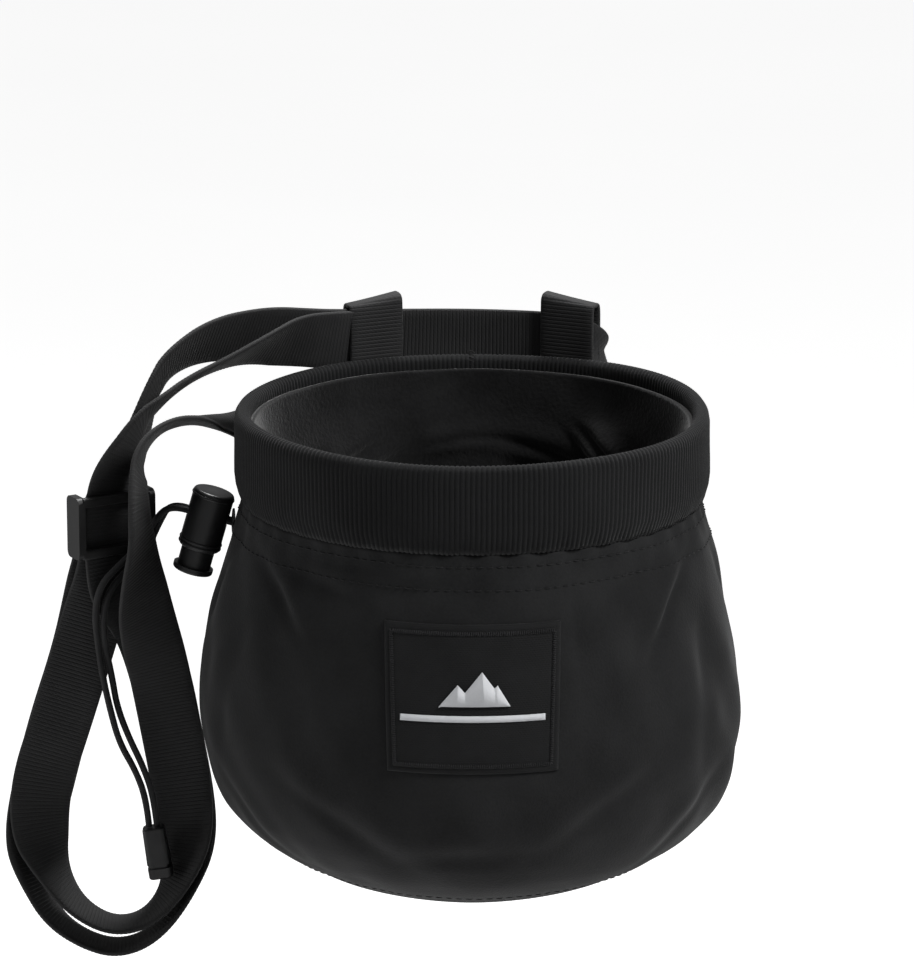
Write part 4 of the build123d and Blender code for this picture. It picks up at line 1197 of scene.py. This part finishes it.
@dataclass
class Belt:
    """Webbing waist belt: the strap, its sewn eye and its two loops on the collar."""

    shelf: MaterialShelf
    ribbon: Ribbon = field(default_factory=Ribbon)
    loop_ribbon: Ribbon = field(default_factory=lambda: Ribbon(width=17.5, thickness=1.2))
    loop_angle: float = 24.0
    loop_foot: float = 71.25
    loop_bottom: float = -26.0
    loop_top: float = 13.6
    loop_tilt: float = 0.16

    def build_strap(self) -> None:
        """The two lengths of webbing that meet at the slider."""
        outer, outer_line = self.ribbon.build(
            "belt_webbing", REAR_RUN + OUTER_TURN + TAIL, "webbing", self.shelf,
            ["belt_rear_run", "belt_outer_loop", "belt_tail"],
        )
        inner, inner_line = self.ribbon.build(
            "belt_webbing_inner", INNER_TURN, "webbing", self.shelf, ["belt_inner_loop", "belt_back_run"]
        )

    def build_eye(self) -> None:
        """Sewn eye of the belt round the slider's bar."""
        across = (math.cos(SLIDER_TURN), math.sin(SLIDER_TURN), 0.0)
        rear = np.array([-math.sin(SLIDER_TURN), math.cos(SLIDER_TURN), 0.0])
        middle = np.array(SLIDER_BAR) + rear * 3.5
        top, low, half = 2.7, -7.9, 2.05
        outline = [
            (0.0, low), (half, low + 0.2), (half, low + 3.0), (half, top - 2.2), (half, top),
            (0.0, top + 0.15),
            (-half, top), (-half, top - 2.2), (-half, low + 3.0), (-half, low + 0.2), (0.0, low),
        ]
        stations = [(tuple(middle + rear * x + np.array([0.0, 0.0, z])), across) for x, z in outline]
        Ribbon(thickness=0.9).build("belt_eye", stations, "webbing", self.shelf, ["belt_end_eye"])

    def build_loops(self) -> None:
        """Folded loops sewn to the back of the collar, with their bartacks."""
        tacks: list[tuple[np.ndarray, np.ndarray, np.ndarray]] = []
        for side, label in ((-1, "left"), (1, "right")):
            turn = math.radians(90 - side * self.loop_angle)
            outward = np.array([math.cos(turn), math.sin(turn), 0.0])
            foot = outward * self.loop_foot + np.array([0.0, BAG_AXIS_Y, 0.0])
            across = np.cross(outward, (0.0, 0.0, 1.0))
            top = self.loop_top
            outline = [
                (0.6, self.loop_bottom), (0.6, -18.0), (0.6, -4.0), (0.6, 6.0), (0.75, top - 2.4),
                (1.4, top - 0.2),
                (3.4, top), (5.5, top - 0.2), (6.2, top - 2.4), (6.2, 6.0), (6.2, -4.0), (5.8, -9.0),
                (3.0, -13.6),
                (1.85, -16.5), (1.85, -20.0), (1.85, self.loop_bottom),
            ]
            stations = [
                (tuple(foot + outward * x + np.array([0.0, 0.0, z])), tuple(across + self._slope(side, z)))
                for x, z in outline
            ]
            self.loop_ribbon.build(
                f"sewn_loop_{label}", stations, "webbing", self.shelf, [f"belt_loop_{label}"]
            )
            for height in (self.loop_bottom + 3.0, self.loop_bottom + 8.0):
                for shift in np.arange(-6.6, 6.7, 0.6):
                    middle = foot + outward * 2.55 + across * shift + np.array([0.0, 0.0, height])
                    tacks.append(
                        (
                            middle - across * 0.2 - np.array([0, 0, 1.1]),
                            middle + across * 0.2 + np.array([0, 0, 1.1]), outward
                        )
                    )
        starts, ends, normals = (np.array([tack[k] for tack in tacks]) for k in range(3))
        Stitching(thread=0.5).build(
            "loop_tacks", starts, ends, normals, "thread", self.shelf, ["loop_bartacks"]
        )

    def _slope(self, side: int, height: float) -> np.ndarray:
        """How far the loop's width tips at a height: the tops rise towards the middle of the back."""
        share = min(max(height / self.loop_top, 0.0), 1.0)
        return np.array([0.0, 0.0, -side * self.loop_tilt * share])

    def build_box_stitches(self) -> None:
        """Sewing that holds the webbing on both sides of the buckle."""
        starts, ends, normals = [], [], []
        for corner, along, across, normal in (
            ((-31.0, 4.9, -25.4), (-0.83, -0.56, 0.0), (0, 0, 1.0), (-0.56, 0.83, 0)),
            ((32.0, 5.0, -25.0), (0.92, -0.38, 0.1), (0, 0, 1.0), (0.38, 0.92, 0)),
        ):
            middle, along, across, normal = (np.array(v, float) for v in (corner, along, across, normal))
            for row in (-6.5, 6.5):
                for k in range(3):
                    spot = middle + across * row + along * (k * 2.4) + normal * 0.75
                    starts.append(spot)
                    ends.append(spot + along * 1.8)
                    normals.append(normal)
        Stitching(thread=0.4).build(
            "belt_stitching", np.array(starts), np.array(ends), np.array(normals), "thread", self.shelf
        )


@dataclass
class Fittings:
    """Drawcord with its barrel lock and cord end, and the moulded parts of the belt."""

    shelf: MaterialShelf
    kept: dict = field(
        default_factory=lambda: {
            "base_binding": "binding_tape", "rim_hoop": "stiffener", "neck_cord": "cord",
            "drawcord_eyelet": "blackened_metal", "tri_glide": "acetal", "buckle_socket": "acetal",
            "buckle_insert": "acetal", "buckle_prong_upper": "acetal", "buckle_prong_lower": "acetal",
            "cord_lock_body": "lock_plastic", "cord_lock_plunger": "lock_plastic",
            "cord_lock_spring": "spring_steel",
            "cord_end_bell": "lock_plastic", "cord_end_plug": "lock_plastic",
        }
    )

    def build_cords(self) -> None:
        """The two braided strands of the drawcord."""
        ends = [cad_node("cord_end_bell"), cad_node("cord_end_plug")]
        for name, route, node, far_end, pieces in (
            ("drawcord_front", FRONT_STRAND, "drawcord_front_strand", "fitting", ends),
            ("drawcord_rear", REAR_STRAND, "drawcord_rear_strand", "object", []),
        ):
            piece, line = BraidedCord().build(name, route, "cord", self.shelf, [node])

    def dress_nodes(self) -> None:
        """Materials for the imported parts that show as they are."""
        for name, slot in self.kept.items():
            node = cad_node(name)
            node.data.materials.clear()
            node.data.materials.append(self.shelf[slot])

    def build_lock_rings(self) -> None:
        """Grip rings moulded round the barrel lock and the flange's rim."""
        axis = np.array([math.sin(LOCK_LEAN), 0.0, math.cos(LOCK_LEAN)])
        centre = np.array(LOCK_CENTRE)
        for name, places, radius, body in (
            ("lock_grip_rings", (-9.2, -8.0), 6.25, "cord_lock"),
            ("lock_cap_ring", (6.3,), 6.2, "cord_lock"),
        ):
            points, faces = [], []
            for place in places:
                turn = np.linspace(0, math.tau, 72, endpoint=False)[None, :]
                section = np.radians(np.arange(0, 360, 45))[:, None]
                r = radius + 0.32 * np.cos(section)
                up = place + 0.42 * np.sin(section) + np.zeros_like(turn)
                side = np.array([math.cos(LOCK_LEAN), 0.0, -math.sin(LOCK_LEAN)])
                spot = (
                    centre + axis * up[..., None] + side * (r * np.cos(turn))[..., None]
                    + np.array([0.0, 1.0, 0.0]) * (r * np.sin(turn))[..., None]
                )
                faces += (grid_faces(8, 72, True, True) + len(points) * 8 * 72).tolist()
                points.append(spot.reshape(-1, 3))
            make_piece(name, np.concatenate(points), faces, "lock_plastic", self.shelf, body)


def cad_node(name: str) -> bpy.types.Object:
    """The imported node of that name."""
    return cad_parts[name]


# ---- studio ----------------------------------------------------------------------------------------------
@dataclass
class Studio:
    """Camera, pale floor and soft lights."""

    shelf: MaterialShelf
    aim: tuple = (-4.5, -74.0, -25.7)
    distance: float = 1600.0
    elevation: float = 14.8
    lens: float = 212.4
    floor_drop: float = -620.0
    world_light: float = 0.24

    def build_camera(self) -> None:
        """Camera in front of the bag, a little above it."""
        lift = math.radians(self.elevation)
        aim = Vector(self.aim) * MM
        data = bpy.data.cameras.new("camera")
        data.sensor_fit = "HORIZONTAL"
        data.sensor_width = 36.0
        data.lens = self.lens
        camera = bpy.data.objects.new("camera", data)
        bpy.context.scene.collection.objects.link(camera)
        camera.location = aim + Vector((0, -math.cos(lift), math.sin(lift))) * self.distance * MM
        camera.rotation_euler = (math.pi / 2 - lift, 0, 0)
        bpy.context.scene.camera = camera

    def build_floor(self) -> None:
        """Wide plain floor far below the hanging bag."""
        points = np.array([(x, y, self.floor_drop) for y in (-30000, 30000) for x in (-30000, 30000)], float)
        mesh = bpy.data.meshes.new("floor")
        mesh.from_pydata((points * MM).tolist(), [], [(0, 1, 3, 2)])
        floor = bpy.data.objects.new("floor", mesh)
        bpy.context.scene.collection.objects.link(floor)
        mesh.materials.append(self.shelf["floor"])
        sheet = NodeSheet(self.shelf["floor"].node_tree)
        shader = sheet.tree.nodes["Principled BSDF"]
        shader.inputs["Emission Color"].default_value = (1.0, 1.0, 1.0, 1.0)
        seen = sheet.add("ShaderNodeLightPath").outputs["Is Camera Ray"]
        sheet.tree.links.new(sheet.between(seen, 0.0, 0.72), shader.inputs["Emission Strength"])

    def build_lights(self) -> None:
        """White surroundings and three broad lamps."""
        world = bpy.data.worlds.new("studio")
        bpy.context.scene.world = world
        world.use_nodes = True
        sheet = NodeSheet(world.node_tree)
        seen = sheet.add("ShaderNodeLightPath").outputs["Is Camera Ray"]
        background = world.node_tree.nodes["Background"]
        background.inputs[0].default_value = (1.0, 1.0, 1.0, 1.0)
        world.node_tree.links.new(sheet.between(seen, self.world_light, 1.0), background.inputs[1])
        for name, place, size, power in (
            ("key_lamp", (0.95, -0.6, 0.95), 0.45, 21.0),
            ("rim_lamp", (0.1, 0.35, 0.95), 0.35, 16.0),
            ("side_lamp", (-1.0, -0.3, -0.15), 0.4, 3.0),
        ):
            data = bpy.data.lights.new(name, "AREA")
            data.size = size
            data.energy = power
            lamp = bpy.data.objects.new(name, data)
            bpy.context.scene.collection.objects.link(lamp)
            lamp.location = place
            away = Vector(place) - Vector((0.0, -0.074, -0.07))
            lamp.rotation_euler = away.to_track_quat("Z", "Y").to_euler()
        bpy.context.scene.view_settings.view_transform = "Standard"


def main() -> None:
    """Build the studio, the cords and belt, and then the bag."""
    logging.basicConfig(level=logging.INFO, format="%(name)s %(message)s")
    shelf = MaterialShelf()
    studio = Studio(shelf)
    studio.build_camera()
    fittings = Fittings(shelf)
    fittings.build_cords()
    belt = Belt(shelf)
    belt.build_strap()
    belt.build_eye()
    belt.build_loops()
    belt.build_box_stitches()
    bag = BagBody(shelf)
    bag.build_wall()
    bag.build_base()
    bag.build_lining()
    bag.build_label()
    bag.build_seams()
    collar = Collar(shelf)
    collar.build()
    collar.build_seam()
    fittings.build_lock_rings()
    fittings.dress_nodes()
    studio.build_floor()
    studio.build_lights()


if __name__ == "__main__":
    main()
